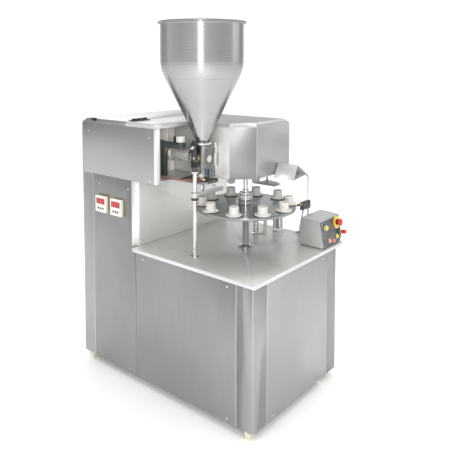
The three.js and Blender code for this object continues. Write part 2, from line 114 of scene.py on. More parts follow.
class Piece:
    """Collects closed shapes into one mesh object."""

    def __init__(self):
        self.bm = bmesh.new()

    def take(self, part, place):
        bmesh.ops.recalc_face_normals(part, faces=part.faces)
        mesh = bpy.data.meshes.new("part")
        part.to_mesh(mesh)
        part.free()
        mesh.transform(place)
        self.bm.from_mesh(mesh)
        bpy.data.meshes.remove(mesh)
        return self

    def turned(self, profile, at, axis=UP, segments=64, soft=0.0008, steps=3):
        """A turned shape from a closed list of (radius, height) pairs."""
        part = bmesh.new()
        rings = []
        for r, z in soften(profile, soft, steps=steps):
            count = 1 if r < 1e-6 else segments
            rings.append([
                part.verts.new((r * math.cos(2 * math.pi * i / segments),
                                r * math.sin(2 * math.pi * i / segments), z))
                for i in range(count)
            ])
        for a, b in zip(rings, rings[1:] + rings[:1]):
            if len(a) == 1 and len(b) == 1:
                continue
            for i in range(segments):
                j = (i + 1) % segments
                corners = [a[i % len(a)], b[i % len(b)], b[j % len(b)], a[j % len(a)]]
                unique = list(dict.fromkeys(corners))
                part.faces.new(unique)
        return self.take(part, placed(at, axis))

    def block(self, low, high, bevel=0.001, place=Matrix.Identity(4), segments=2):
        part = bmesh.new()
        bmesh.ops.create_cube(part, size=1)
        size = Vector(high) - Vector(low)
        middle = (Vector(high) + Vector(low)) / 2
        bmesh.ops.transform(
            part, matrix=Matrix.Translation(middle) @ Matrix.Diagonal((*size, 1)), verts=part.verts)
        bmesh.ops.bevel(part, geom=part.edges[:], offset=min(bevel, min(size) * 0.45),
                        segments=segments, profile=0.5, affect="EDGES")
        return self.take(part, place)

    def raised(self, outline, z0, z1, bevel=0.001, place=Matrix.Identity(4)):
        """An outline in X and Y, raised from z0 to z1."""
        part = bmesh.new()
        face = part.faces.new([part.verts.new((x, y, z0)) for x, y in outline])
        lifted = bmesh.ops.extrude_face_region(part, geom=[face])
        verts = [v for v in lifted["geom"] if isinstance(v, bmesh.types.BMVert)]
        bmesh.ops.translate(part, verts=verts, vec=(0, 0, z1 - z0))
        sharp = [e for e in part.edges if e.is_manifold and e.calc_face_angle(0) > 0.6]
        if bevel:
            bmesh.ops.bevel(part, geom=sharp, offset=bevel, segments=2, profile=0.5, affect="EDGES")
        return self.take(part, place)

    def swept(self, path, radius, segments=14):
        """A round bar or hose along a path of points."""
        part = bmesh.new()
        path = [Vector(p) for p in path]
        tangent = (path[1] - path[0]).normalized()
        side = tangent.orthogonal().normalized()
        rings = []
        for i, p in enumerate(path):
            ahead = path[min(i + 1, len(path) - 1)] - path[max(i - 1, 0)]
            tangent = ahead.normalized()
            side = (side - tangent * side.dot(tangent)).normalized()
            other = tangent.cross(side)
            rings.append([
                part.verts.new(p + radius * (side * math.cos(a) + other * math.sin(a)))
                for a in (2 * math.pi * k / segments for k in range(segments))
            ])
        for a, b in zip(rings, rings[1:]):
            for i in range(segments):
                j = (i + 1) % segments
                part.faces.new((a[i], a[j], b[j], b[i]))
        part.faces.new(rings[0][::-1])
        part.faces.new(rings[-1])
        return self.take(part, Matrix.Identity(4))

    def make(self, name, look, body=MACHINE, smooth=35):
        mesh = bpy.data.meshes.new(name)
        self.bm.to_mesh(mesh)
        self.bm.free()
        mesh.polygons.foreach_set("use_smooth", [True] * len(mesh.polygons))
        mesh.set_sharp_from_angle(angle=math.radians(smooth))
        mesh.materials.append(look.material)
        obj = bpy.data.objects.new(name, mesh)
        bpy.context.scene.collection.objects.link(obj)
        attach(obj, body)
        return obj


def turned_piece(name, look, outline, at, axis=UP, body=MACHINE, node=None, **how):
    """A piece that is one turned shape. It may take the place of a CAD node."""
    obj = Piece().turned(outline, at, axis, **how).make(name, look, body)
    if node:
        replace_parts(obj, node)


# ---- materials ----------------------------------------------------------------

class Surface:
    """A Principled material whose colour, roughness and bump come from stretched noise."""

    def __init__(self, name, slot, metallic=0.0, **constants):
        self.material = bpy.data.materials.new(name)
        self.material.use_nodes = True
        self.tree = self.material.node_tree
        self.shader = self.tree.nodes["Principled BSDF"]
        self.shader.inputs["Metallic"].default_value = metallic
        for socket, value in constants.items():
            self.shader.inputs[socket.replace("_", " ")].default_value = value
        self.slot = slot
        self.coordinates = self.tree.nodes.new("ShaderNodeTexCoord").outputs["Object"]

    def link(self, a, b):
        self.tree.links.new(a, b)

    def noise(self, scale, detail=4.0, roughness=0.55):
        mapping = self.tree.nodes.new("ShaderNodeMapping")
        mapping.inputs["Scale"].default_value = scale
        texture = self.tree.nodes.new("ShaderNodeTexNoise")
        texture.inputs["Scale"].default_value = 1.0
        texture.inputs["Detail"].default_value = detail
        texture.inputs["Roughness"].default_value = roughness
        self.link(self.coordinates, mapping.inputs["Vector"])
        self.link(mapping.outputs["Vector"], texture.inputs["Vector"])
        return texture.outputs["Fac"]

    def blend(self, a, b, share):
        """share of b over a, as one number."""
        mix = self.tree.nodes.new("ShaderNodeMix")
        mix.inputs["Factor"].default_value = share
        self.link(a, mix.inputs["A"])
        self.link(b, mix.inputs["B"])
        return mix.outputs["Result"]

    def ramp(self, value, stops):
        node = self.tree.nodes.new("ShaderNodeValToRGB")
        while len(node.color_ramp.elements) < len(stops):
            node.color_ramp.elements.new(0.5)
        for element, (position, colour) in zip(node.color_ramp.elements, stops):
            element.position = position
            element.color = (*colour, 1)
        self.link(value, node.inputs["Fac"])
        return node.outputs["Color"]

    def spread(self, value, low, high):
        """Maps the noise's usual range, 0.3 to 0.7, to low to high."""
        node = self.tree.nodes.new("ShaderNodeMapRange")
        node.inputs["From Min"].default_value = 0.3
        node.inputs["From Max"].default_value = 0.7
        node.inputs["To Min"].default_value = low
        node.inputs["To Max"].default_value = high
        self.link(value, node.inputs["Value"])
        return node.outputs["Result"]

    def finish(self, colour, roughness, height, depth):
        bump = self.tree.nodes.new("ShaderNodeBump")
        bump.inputs["Strength"].default_value = 0.6
        bump.inputs["Distance"].default_value = depth
        self.link(height, bump.inputs["Height"])
        self.link(colour, self.shader.inputs["Base Color"])
        self.link(roughness, self.shader.inputs["Roughness"])
        self.link(bump.outputs["Normal"], self.shader.inputs["Normal"])
        return Look(self.material, self.slot)


def brushed(name, grain, dark, light, rough=(0.26, 0.44), slot="stainless_sheet", depth=0.00002,
            metallic=1.0, clouds=0.45, **constants):
    """Stainless sheet: fine lines along the long direction of the grain, and faint cloudy patches."""
    surface = Surface(name, slot, metallic=metallic, **constants)
    lines = surface.noise(grain, detail=6)
    patches = surface.noise((2.2, 2.2, 1.6), detail=3)
    both = surface.blend(lines, patches, clouds)
    colour = surface.ramp(both, [(0.32, dark), (0.68, light)])
    smudges = surface.noise((7, 7, 7), detail=5, roughness=0.7)
    roughness = surface.spread(surface.blend(lines, smudges, 0.5), *rough)
    return surface.finish(colour, roughness, lines, depth)


def polished(name, dark, light, rough=(0.05, 0.16)):
    """Ground and polished bar: turning lines round the axis and a few dull spots."""
    surface = Surface(name, "polished_bar", metallic=1.0)
    lines = surface.noise((30, 30, 1400), detail=3)
    spots = surface.noise((25, 25, 25), detail=5, roughness=0.7)
    colour = surface.ramp(surface.blend(lines, spots, 0.6), [(0.3, dark), (0.7, light)])
    roughness = surface.spread(surface.blend(lines, spots, 0.6), *rough)
    return surface.finish(colour, roughness, lines, 0.00001)


def plastic(name, slot, dark, light, rough, grain=900, depth=0.00003, **constants):
    """Moulded plastic: fine mould texture, slight unevenness in colour and dulled patches."""
    surface = Surface(name, slot, **constants)
    fine = surface.noise((grain, grain, grain), detail=2)
    broad = surface.noise((18, 18, 18), detail=5, roughness=0.65)
    colour = surface.ramp(broad, [(0.3, dark), (0.7, light)])
    roughness = surface.spread(surface.blend(fine, broad, 0.6), *rough)
    return surface.finish(colour, roughness, fine, depth)


def painted(name, slot, dark, light, rough=(0.35, 0.6), metallic=0.4):
    """Dark anodised or enamelled metal with rubbed patches."""
    surface = Surface(name, slot, metallic=metallic)
    rubbed = surface.noise((60, 60, 60), detail=8, roughness=0.7)
    broad = surface.noise((9, 9, 9), detail=3)
    colour = surface.ramp(surface.blend(rubbed, broad, 0.5), [(0.35, dark), (0.66, light)])
    roughness = surface.spread(rubbed, *rough)
    return surface.finish(colour, roughness, rubbed, 0.00005)


# STEEL through STEEL_FLAT are lighter and darker copies of one stainless sheet: each tone is set for how
# light falls on the parts and sides that wear it, as painted light and shade.
STEEL = brushed("steel_upright_grain", (700, 700, 5), (0.35, 0.355, 0.355), (0.45, 0.455, 0.45))
# Darker copy for the sides turned from the light: painted shade.
STEEL_PAINTED_SHADE_SIDE = brushed("steel_side_painted_shade", (700, 700, 5), (0.27, 0.275, 0.27), (0.36, 0.365, 0.36))
STEEL_HEAD = brushed("steel_head_grain", (700, 700, 5), (0.38, 0.385, 0.385), (0.48, 0.485, 0.48))
STEEL_WING = brushed("steel_wing_grain", (700, 700, 5), (0.40, 0.405, 0.40), (0.50, 0.505, 0.495),
                     metallic=0.85)
STEEL_TABLE = brushed("steel_worktop_grain", (5, 700, 700), (0.55, 0.56, 0.535), (0.67, 0.68, 0.655),
                      rough=(0.24, 0.42), metallic=0.6)
# Lighter copy for the walls inside the recess: painted light.
STEEL_PAINTED_LIGHT_WALL = brushed("steel_wall_painted_light", (700, 700, 5), (0.68, 0.675, 0.655), (0.80, 0.795, 0.775),
                     rough=(0.28, 0.44), metallic=0.45)
STEEL_BOX = brushed("steel_box_grain", (700, 700, 5), (0.48, 0.48, 0.47), (0.60, 0.60, 0.585),
                    rough=(0.28, 0.44), metallic=0.65)
STEEL_FLAT = brushed("steel_table_grain", (5, 700, 700), (0.33, 0.335, 0.325), (0.43, 0.435, 0.42),
                     rough=(0.26, 0.44))
# Darker copy for the turntable disc and the hopper rim: painted shade standing in for their dark reflections.
STEEL_PAINTED_SHADE_DARK = brushed("steel_painted_shade_dark", (300, 300, 300), (0.25, 0.26, 0.255), (0.35, 0.36, 0.35),
                     rough=(0.16, 0.32), clouds=0.75, depth=0.000004)
STEEL_SPUN = brushed("steel_spun_grain", (3, 3, 700), (0.40, 0.405, 0.395), (0.50, 0.505, 0.49),
                     rough=(0.20, 0.30), depth=0.000002, clouds=0.8, Anisotropic=0.75,
                     Anisotropic_Rotation=0.25)
# Lighter copy: painted highlight on cut edges, bevels and chamfers, and painted sheen on the whole valve
# bracket.
STEEL_PAINTED_SHEEN = brushed("steel_painted_sheen", (60, 60, 400), (0.60, 0.605, 0.60), (0.74, 0.74, 0.73),
                       rough=(0.30, 0.46), metallic=0.7)
STEEL_SATIN = brushed("steel_machined_block", (500, 500, 40), (0.17, 0.175, 0.17), (0.27, 0.27, 0.26),
                      rough=(0.26, 0.44))
# Light beige lining: painted light and reflection in the shaded recess.
LINER_PAINTED_LIGHT = brushed("recess_lining_painted_light", (420, 420, 6), (0.78, 0.745, 0.70), (0.90, 0.865, 0.82),
                rough=(0.30, 0.48), metallic=0.06)
# Warm light barrel tone: partly the steel's own colour, partly a painted beige reflection.
BARREL = brushed("dosing_barrel_grain", (4, 1500, 4), (0.62, 0.60, 0.57), (0.74, 0.72, 0.69),
                 rough=(0.22, 0.34), metallic=0.5, depth=0.000001, clouds=0.9)
CHROME = polished("polished_steel", (0.60, 0.605, 0.605), (0.78, 0.78, 0.77))
NYLON = plastic("white_nylon_turned", "white_nylon", (0.45, 0.44, 0.415), (0.57, 0.56, 0.535),
                (0.38, 0.58), grain=500, Subsurface_Weight=0.08)
FOOT = plastic("foot_moulding", "foot_plastic", (0.52, 0.48, 0.33), (0.74, 0.71, 0.56), (0.45, 0.7))
BLACK = plastic("black_moulding", "black_plastic", (0.012, 0.012, 0.013), (0.035, 0.035, 0.037),
                (0.32, 0.55))
BEZEL = plastic("instrument_moulding", "controller_plastic", (0.62, 0.61, 0.57), (0.74, 0.73, 0.69),
                (0.3, 0.48))
EDGE = plastic("instrument_edge", "controller_plastic", (0.62, 0.56, 0.36), (0.74, 0.69, 0.50),
               (0.35, 0.5))
PROFILE = brushed("anodised_extrusion", (600, 600, 8), (0.62, 0.63, 0.64), (0.82, 0.83, 0.83),
                  rough=(0.36, 0.5), slot="anodised_profile")
DARK = painted("dark_fittings", "dark_fitting", (0.03, 0.034, 0.034), (0.10, 0.11, 0.105))
CYLINDER = painted("air_cylinder_barrel", "dark_fitting", (0.07, 0.085, 0.08), (0.15, 0.165, 0.155),
                   rough=(0.28, 0.48))
PRIMER = painted("frame_primer", "frame_paint", (0.15, 0.16, 0.17), (0.24, 0.25, 0.26), metallic=0.1)
PANEL = painted("control_panel_plate", "stainless_sheet", (0.10, 0.11, 0.115), (0.20, 0.21, 0.215),
                rough=(0.3, 0.5), metallic=0.6)
RED = plastic("red_moulding", "red_button_plastic", (0.42, 0.012, 0.010), (0.60, 0.030, 0.022),
              (0.16, 0.34), Coat_Weight=0.3)
YELLOW = plastic("yellow_moulding", "yellow_button_plastic", (0.70, 0.42, 0.02), (0.85, 0.58, 0.05),
                 (0.22, 0.42), Coat_Weight=0.2)
AMBER = plastic("amber_lens", "yellow_button_plastic", (0.72, 0.26, 0.02), (0.88, 0.40, 0.05),
                (0.10, 0.24), Coat_Weight=0.5)
PINK = plastic("pink_lens", "red_button_plastic", (0.70, 0.10, 0.16), (0.82, 0.20, 0.26), (0.12, 0.28))
GREEN = plastic("green_moulding", "black_plastic", (0.02, 0.13, 0.06), (0.04, 0.22, 0.11), (0.25, 0.45))
WINDOW = plastic("display_window", "black_plastic", (0.20, 0.008, 0.016), (0.28, 0.012, 0.024),
                 (0.08, 0.18), Coat_Weight=0.6)
BLUE_HOSE = plastic("blue_air_hose", "black_plastic", (0.01, 0.05, 0.25), (0.02, 0.09, 0.38), (0.2, 0.4))
RED_HOSE = plastic("red_air_hose", "red_button_plastic", (0.26, 0.055, 0.035),
                   (0.38, 0.10, 0.07), (0.25, 0.45))
BRASS = polished("brass_fittings", (0.62, 0.48, 0.24), (0.78, 0.64, 0.36), rough=(0.15, 0.3))


def digit_look():
    """The lit segments of the displays."""
    surface = Surface("display_segments", "red_button_plastic", Emission_Strength=0.5,
                      Emission_Color=(1.0, 0.06, 0.03, 1))
    glow = surface.noise((300, 300, 300), detail=1)
    colour = surface.ramp(glow, [(0.3, (0.55, 0.02, 0.01)), (0.7, (0.75, 0.04, 0.02))])
    return surface.finish(colour, surface.spread(glow, 0.3, 0.5), glow, 0.00001)


DIGITS = digit_look()


# ---- CAD nodes that keep their shape ------------------------------------------

def dress(names, look, bevel=0.0014, segments=2, edge=None):
    """Gives CAD nodes their material and rounds their sharp edges. With an edge look, the rounded edges get
    that lighter steel as a painted highlight.
    """
    for name in names:
        obj = nodes[name]
        obj.data.materials.clear()
        obj.data.materials.append(look.material)
        obj.data.polygons.foreach_set("material_index", [0] * len(obj.data.polygons))
        obj.data.polygons.foreach_set("use_smooth", [True] * len(obj.data.polygons))
        weld = obj.modifiers.new("weld", "WELD")
        weld.merge_threshold = 0.00002
        rounded = obj.modifiers.new("rounded_edges", "BEVEL")
        rounded.width = bevel
        rounded.segments = segments
        rounded.limit_method = "ANGLE"
        rounded.angle_limit = math.radians(28)
        rounded.harden_normals = True
        rounded.use_clamp_overlap = True
        if edge:
            obj.data.materials.append(edge.material)
            rounded.material = 1


def paint_edge_highlights(names, flat=0.5):
    """Painted highlight on the folded or cut edges of a flat sheet: its side faces get a lighter steel than
    its face.
    """
    for name in names:
        mesh = nodes[name].data
        mesh.materials.append(STEEL_PAINTED_SHEEN.material)
        for polygon in mesh.polygons:
            if abs(polygon.normal.z) < flat:
                polygon.material_index = 1


def paint_side_light_and_shade(node, facing, look):
    """Painted light and shade: the faces of a folded sheet that face one way get a lighter or darker steel of
    their own.
    """
    mesh = nodes[node].data
    mesh.materials.append(look.material)
    for polygon in mesh.polygons:
        if polygon.normal.dot(facing.normalized()) > 0.95:
            polygon.material_index = len(mesh.materials) - 1


def plain_mount(node, barrel_height):
    """Everything below the barrel of a cylinder is bare steel."""
    mesh = nodes[node].data
    mesh.materials.append(STEEL_SATIN.material)
    limit = box(node).z1 - barrel_height
    for polygon in mesh.polygons:
        if polygon.center.z < limit:
            polygon.material_index = 1


def dress_sheet_metal():
    # Each sheet gets the steel copy whose tone suits how light falls on it (painted light and shade), with
    # painted highlights on its rounded edges.
    for names, look in ((["left_corner_cover", "front_panel", "rear_cover"], STEEL),
                        (["left_panel", "cabinet_left_panel", "right_side_cover"], STEEL_PAINTED_SHADE_SIDE),
                        (["head_left_cover", "head_rear_cover"], STEEL_HEAD),
                        (["wing_cover"], STEEL_WING)):
        dress(names, look, bevel=0.0026, edge=STEEL_PAINTED_SHEEN)
    # Painted highlight on the head's chamfer, painted shade on the wing's chamfer, painted light on the
    # wing's side in the recess.
    paint_side_light_and_shade("head_left_cover", Vector((-1, -1, 0)), STEEL_PAINTED_SHEEN)
    paint_side_light_and_shade("wing_cover", Vector((-1, -1, 0)), STEEL_PAINTED_SHADE_SIDE)
    paint_side_light_and_shade("wing_cover", Vector((-1, 0, 0)), STEEL_PAINTED_LIGHT_WALL)
    dress(["column_front_panel"], STEEL_PAINTED_LIGHT_WALL, bevel=0.0026, edge=STEEL_PAINTED_SHEEN)
    dress(["control_box"], STEEL_BOX)
    dress(["head_top_front", "rear_lid"], STEEL_FLAT)
    dress(["table_top", "head_deck"], STEEL_TABLE)
    # Painted highlight on the side faces of the worktop, the deck and the front roof.
    paint_edge_highlights(["table_top", "head_deck"])
    paint_edge_highlights(["head_top_front"], 0.97)
    dress(["discharge_chute", "guide_bar"], STEEL_BOX, bevel=0.001)
    dress(["base_frame", "index_drive"], PRIMER)
    dress(["foot_front_left", "foot_front_right", "foot_rear_left", "foot_rear_right"], FOOT, 0.004, 3)
    dress(["valve_body", "valve_bracket"], STEEL_SATIN, bevel=0.0016)
    dress(["valve_lever", "index_sensor"], DARK, bevel=0.0012)
    dress(["air_cylinder"], CYLINDER, bevel=0.0015)
    plain_mount("air_cylinder", 0.045)
    dress(["air_rod"], CHROME, bevel=0.0005)
    dress(["clamp_cylinder"], PROFILE, bevel=0.0008)


dress_sheet_metal()


# ---- small fasteners ------------------------------------------------------------

def screw(piece, at, axis, radius=0.0055):
    """A low button head with a hexagon socket."""
    piece.turned([(0, -0.0004), (radius, -0.0004), (radius, 0.0009), (radius * 0.72, 0.0024),
                  (radius * 0.42, 0.0027), (radius * 0.38, 0.0012), (0, 0.0012)],
                 at, axis, segments=18, soft=0.0003, steps=2)


def bolt(piece, at, axis, radius=0.004, height=0.004):
    """A socket cap head that stands on a face."""
    piece.turned([(0, 0), (radius, 0), (radius, height), (radius * 0.5, height),
                  (radius * 0.5, height * 0.45), (0, height * 0.45)],
                 at, axis, segments=18, soft=0.0004, steps=2)


def panel_screws(node, side, inset=0.058, top=0.05, bottom=0.02):
    """Four screws near the corners of a sheet's outer face."""
    b = box(node)
    sideways = side in ("left", "right")
    first, last = (b.y0, b.y1) if sideways else (b.x0, b.x1)
    level, axis = {
        "left": (b.x0, (-1, 0, 0)), "right": (b.x1, (1, 0, 0)),
        "front": (b.y0, (0, -1, 0)), "back": (b.y1, (0, 1, 0)),
    }[side]
    piece = Piece()
    for u in (first + inset, last - inset):
        for z in (b.z0 + bottom, b.z1 - top):
            screw(piece, (level, u, z) if sideways else (u, level, z), axis)
    piece.make(f"{node}_{side}_screws", CHROME)


# ---- filling unit ---------------------------------------------------------------

def bend(a, corner, b, steps=6):
    """Points on a smooth bend from a to b."""
    a, corner, b = Vector(a), Vector(corner), Vector(b)
    values = [k / steps for k in range(steps + 1)]
    return [(1 - t) ** 2 * a + 2 * t * (1 - t) * corner + t * t * b for t in values]


def make_hopper():
    b = box("hopper")
    at = ((b.x0 + b.x1) / 2, (b.y0 + b.y1) / 2, b.z0)
    rim = (b.x1 - b.x0) / 2
    wide = rim - 0.015
    neck = 0.032
    wall = 0.002
    height = b.z1 - b.z0
    knee = 0.412
    bead = 0.0066
    shoulder = bend((wide - 0.024, knee - 0.050), (wide, knee + 0.002), (wide, knee + 0.050))
    roll = [(rim - bead + bead * math.sin(a), height - bead - bead * math.cos(a))
            for a in (math.pi * k / 8 for k in range(16))]
    outside = [(neck + 0.0135, 0), (neck + 0.0135, 0.0045), (neck, 0.0085), *shoulder,
               (wide, height - 0.022), (wide + 0.0016, height - 0.0125), (wide + 0.0016, height - 0.005)]
    inside = [(r - wall, z + 0.001) for r, z in reversed(shoulder)]
    profile = [*outside, (wide, height - 0.005), (wide - wall, height - 0.012), *inside,
               (neck - wall, 0.009), (neck - wall, 0)]
    hopper = Piece().turned(profile, at, segments=96, soft=0.0004, steps=2).make(
        "hopper_shell", STEEL_SPUN, smooth=50)
    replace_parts(hopper, "hopper")
    # The rolled rim takes the darker steel: painted shade.
    Piece().turned(roll, at, segments=96).make("hopper_rolled_rim", STEEL_PAINTED_SHADE_DARK, smooth=50)

    welds = Piece()
    for r, z in ((wide + 0.0002, knee + 0.056), (wide - 0.0260, knee - 0.054)):
        welds.turned([(r - 0.001, z - 0.0014), (r + 0.0002, z - 0.0008), (r + 0.0003, z),
                      (r + 0.0002, z + 0.0008), (r - 0.001, z + 0.0014)], at, segments=96)
    welds.make("hopper_welds", STEEL_SPUN)

    ring = Piece()
    ring.turned([(neck + 0.010, -0.004), (neck + 0.0215, -0.004), (neck + 0.0225, 0.001),
                 (neck + 0.0215, 0.007), (neck + 0.010, 0.007)], at, segments=64)
    bolt_turn = 0.6
    to_bolt = Vector((math.cos(bolt_turn), math.sin(bolt_turn), 0)) * (neck + 0.024)
    for side, turn in ((1, bolt_turn), (-1, bolt_turn + math.pi)):
        ring.block((-0.006, -0.008, -0.004), (0.006, 0.008, 0.008), 0.0015,
                   placed(Vector(at) + to_bolt * side, UP, turn))
    wing_at = Vector(at) + to_bolt + UP * 0.010
    ring.turned(bar_outline(0.006, 0.006), wing_at, segments=6)
    ring.block((-0.014, -0.0015, 0.005), (0.014, 0.0015, 0.014), 0.0012, placed(wing_at, UP, bolt_turn))
    ring.make("hopper_clamp", CHROME)


def make_valve_details():
    b = box("valve_body")
    nozzle = centre("nozzle")
    spindle = joints["valve_lever_turn"]["pos_m"]
    details = Piece()
    for dx in (-0.026, 0.026):
        for z in (b.z0 + 0.02, b.z1 - 0.02):
            bolt(details, (nozzle.x + dx, b.y0 - 0.0003, z), (0, -1, 0), 0.0045)
    details.turned([(0, 0), (0.024, 0), (0.024, 0.007), (0.018, 0.010), (0, 0.010)],
                   (b.x1 + 0.0002, spindle[1], spindle[2]), (1, 0, 0), segments=40)
    details.turned(bar_outline(0.019, 0.006),
                   (nozzle.x, b.y0 - 0.0002, spindle[2] - 0.008), (0, -1, 0), segments=40)
    details.make("valve_caps_and_bolts", CHROME)

    turned_piece("valve_spindle_gland", BRASS, sleeve_outline(0.0145, 0.024, 0.010),
                 (b.x0 - 0.0102, spindle[1], spindle[2]), (1, 0, 0), segments=40)
    nut_at = (box("valve_lever").x0 - 0.0062, spindle[1], spindle[2])
    turned_piece("valve_lever_nut", CHROME, bar_outline(0.011, 0.006), nut_at, (1, 0, 0), "valve_lever",
                 segments=6, soft=0.0006)


def make_nozzle():
    b = box("nozzle")
    c = centre("nozzle")
    tall = b.z1 - b.z0
    piece = Piece()
    piece.turned([(0, 0.001), (0.0042, 0.001), (0.0042, 0), (0.0058, 0), (0.0078, 0.008),
                  (0.0108, 0.016), (0.0108, tall), (0, tall)], (c.x, c.y, b.z0), segments=40)
    piece.turned([(0.0106, 0.030), (0.0115, 0.030), (0.0115, 0.040), (0.0106, 0.040)],
                 (c.x, c.y, b.z0), segments=6, soft=0.0005)
    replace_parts(piece.make("fill_nozzle", CHROME, "nozzle"), "nozzle")


def make_dosing():
    b = box("dosing_cylinder")
    c = centre("dosing_cylinder")
    long = b.y1 - b.y0
    at = (c.x, b.y0, c.z)
    back = (0, 1, 0)
    clamp = (b.x1 - b.x0) / 2
    barrel = 0.041
    # The barrel's warm light tone is partly a painted beige reflection.
    turned_piece("dosing_barrel", BARREL, [
        (0.034, 0), (clamp - 0.006, 0), (clamp - 0.006, 0.004), (barrel + 0.001, 0.008),
        (barrel, 0.020), (barrel, long - 0.016), (barrel + 0.005, long - 0.012),
        (barrel + 0.005, long), (0.012, long), (0.012, long - 0.008), (0.034, long - 0.008),
    ], at, back, node="dosing_cylinder", segments=72)

    ring = Piece()
    ring.turned([(clamp - 0.009, 0.0005), (clamp - 0.0005, 0.0005), (clamp, 0.004),
                 (clamp - 0.0005, 0.0135), (clamp - 0.009, 0.0135)], at, back, segments=72)
    ring.block((-0.010, -0.007, 0.001), (0.010, 0.010, 0.013), 0.0015,
               placed((c.x, b.y0, c.z + clamp + 0.004), back))
    ring.make("dosing_clamp", CHROME)

    p = box("dosing_piston")
    head = (p.x1 - p.x0) / 2
    reach = p.y1 - p.y0
    grooves = [(head, 0), (head, 0.006), (head - 0.002, 0.006), (head - 0.002, 0.010), (head, 0.010),
               (head, 0.018), (head - 0.002, 0.018), (head - 0.002, 0.022), (head, 0.022), (head, 0.030)]
    turned_piece("dosing_piston_rod", CHROME, [
        (0, 0), *grooves, (0.011, 0.032), (0.011, reach), (0, reach),
    ], (c.x, p.y0, c.z), back, "dosing_piston", "dosing_piston", segments=56)


def make_air_cylinder_details():
    b = box("air_cylinder")
    top = b.z1
    mid_x = (b.x0 + b.x1) / 2
    bolts = Piece()
    for dx in (-0.0135, 0.0135):
        for dz in (-0.0135, 0.0135):
            z = top - 0.020 + dz
            bolt(bolts, (mid_x + dx, b.y0, z), (0, -1, 0), 0.003, 0.0025)
            bolt(bolts, (mid_x + dx, b.y1, z), (0, 1, 0), 0.003, 0.0025)
    bolts.make("air_cylinder_bolts", CHROME)


# ---- front post and guide -------------------------------------------------------

def make_front_post():
    b = box("front_post")
    c = centre("front_post")
    tall = b.z1 - b.z0
    foot = (b.x1 - b.x0) / 2
    turned_piece("front_post_rod", CHROME, [
        (0, 0), (foot, 0), (foot, 0.006), (0.016, 0.009), (0.016, 0.037), (0.0105, 0.039),
        (0.0105, tall - 0.014), (0.0115, tall - 0.013), (0.019, tall - 0.011), (0.019, tall), (0, tall),
    ], (c.x, c.y, b.z0), node="front_post", segments=48)

    bolts = Piece()
    for k in range(3):
        a = 0.5 + 2 * math.pi * k / 3
        bolt(bolts, (c.x + 0.0215 * math.cos(a), c.y + 0.0215 * math.sin(a), b.z0 + 0.0068), UP, 0.003, 0.003)
    bolt(bolts, (c.x - 0.0158, c.y, b.z0 + 0.024), (-1, 0, 0), 0.003, 0.003)
    bolts.make("front_post_bolts", DARK)

    g = box("guide_bar")
    collar = Piece()
    collar.turned(sleeve_outline(0.0106, 0.0195, 0.014),
                  (c.x, c.y, g.z0 - 0.0145), segments=40, soft=0.001)
    bolt(collar, (c.x - 0.019, c.y, g.z0 - 0.0075), (-1, 0, 0), 0.0035, 0.006)
    collar.make("front_post_collar", DARK)


# ---- turntable ------------------------------------------------------------------

def make_turntable():
    p = box("turntable_plate")
    s = box("turntable_spindle")
    c = centre("turntable_plate")
    radius = (p.x1 - p.x0) / 2
    thick = p.z1 - p.z0
    # The disc takes the darker steel: painted shade for its dark reflections.
    turned_piece("turntable_disc", STEEL_PAINTED_SHADE_DARK, [
        (0.0194, 0), (radius - 0.008, 0), (radius - 0.001, 0.003), (radius, 0.006),
        (radius, thick - 0.005), (radius - 0.002, thick), (radius - 0.007, thick),
        (radius - 0.008, thick - 0.0012), (radius - 0.010, thick - 0.0012), (0.062, thick - 0.0012),
        (0.061, thick - 0.0003), (0.0194, thick - 0.0003),
    ], (c.x, c.y, p.z0), UP, "turntable", "turntable_plate", segments=144, soft=0.0006)

    z = p.z1 - s.z0
    tall = s.z1 - s.z0
    turned_piece("turntable_hub", CHROME, [
        (0, 0), (0.0106, 0), (0.0106, p.z0 - s.z0 - 0.009), (0.058, p.z0 - s.z0 - 0.009),
        (0.058, p.z0 - s.z0 - 0.0003), (0.019, p.z0 - s.z0 - 0.0003), (0.019, z + 0.0003),
        (0.0405, z + 0.0003), (0.0405, z + 0.018), (0.0392, z + 0.019), (0.0392, z + 0.021),
        (0.0405, z + 0.022), (0.0405, z + 0.038), (0.037, z + 0.040), (0.037, z + 0.055),
        (0.0358, z + 0.056), (0.0358, z + 0.058), (0.037, z + 0.059), (0.037, z + 0.071),
        (0.018, z + 0.0715), (0.018, z + 0.086), (0.013, z + 0.088), (0.013, tall), (0, tall),
    ], (c.x, c.y, s.z0), UP, "turntable", "turntable_spindle", segments=72)

    bolts = Piece()
    for k in range(4):
        a = math.radians(20 + 90 * k)
        bolt(bolts, (c.x + 0.028 * math.cos(a), c.y + 0.028 * math.sin(a), p.z1 + 0.0709), UP, 0.0035)
    bolts.make("turntable_hub_bolts", DARK, "turntable")

    flange = Piece()
    table_top = box("table_top").z1
    flange.turned([(0.0178, 0.0003), (0.046, 0.0003), (0.046, 0.007), (0.030, 0.011), (0.026, 0.016),
                   (0.0178, 0.016)], (c.x, c.y, table_top), segments=56)
    for k in range(4):
        a = math.radians(45 + 90 * k)
        bolt(flange, (c.x + 0.038 * math.cos(a), c.y + 0.038 * math.sin(a), table_top + 0.0085), UP, 0.004)
    flange.make("index_column_flange", CHROME)


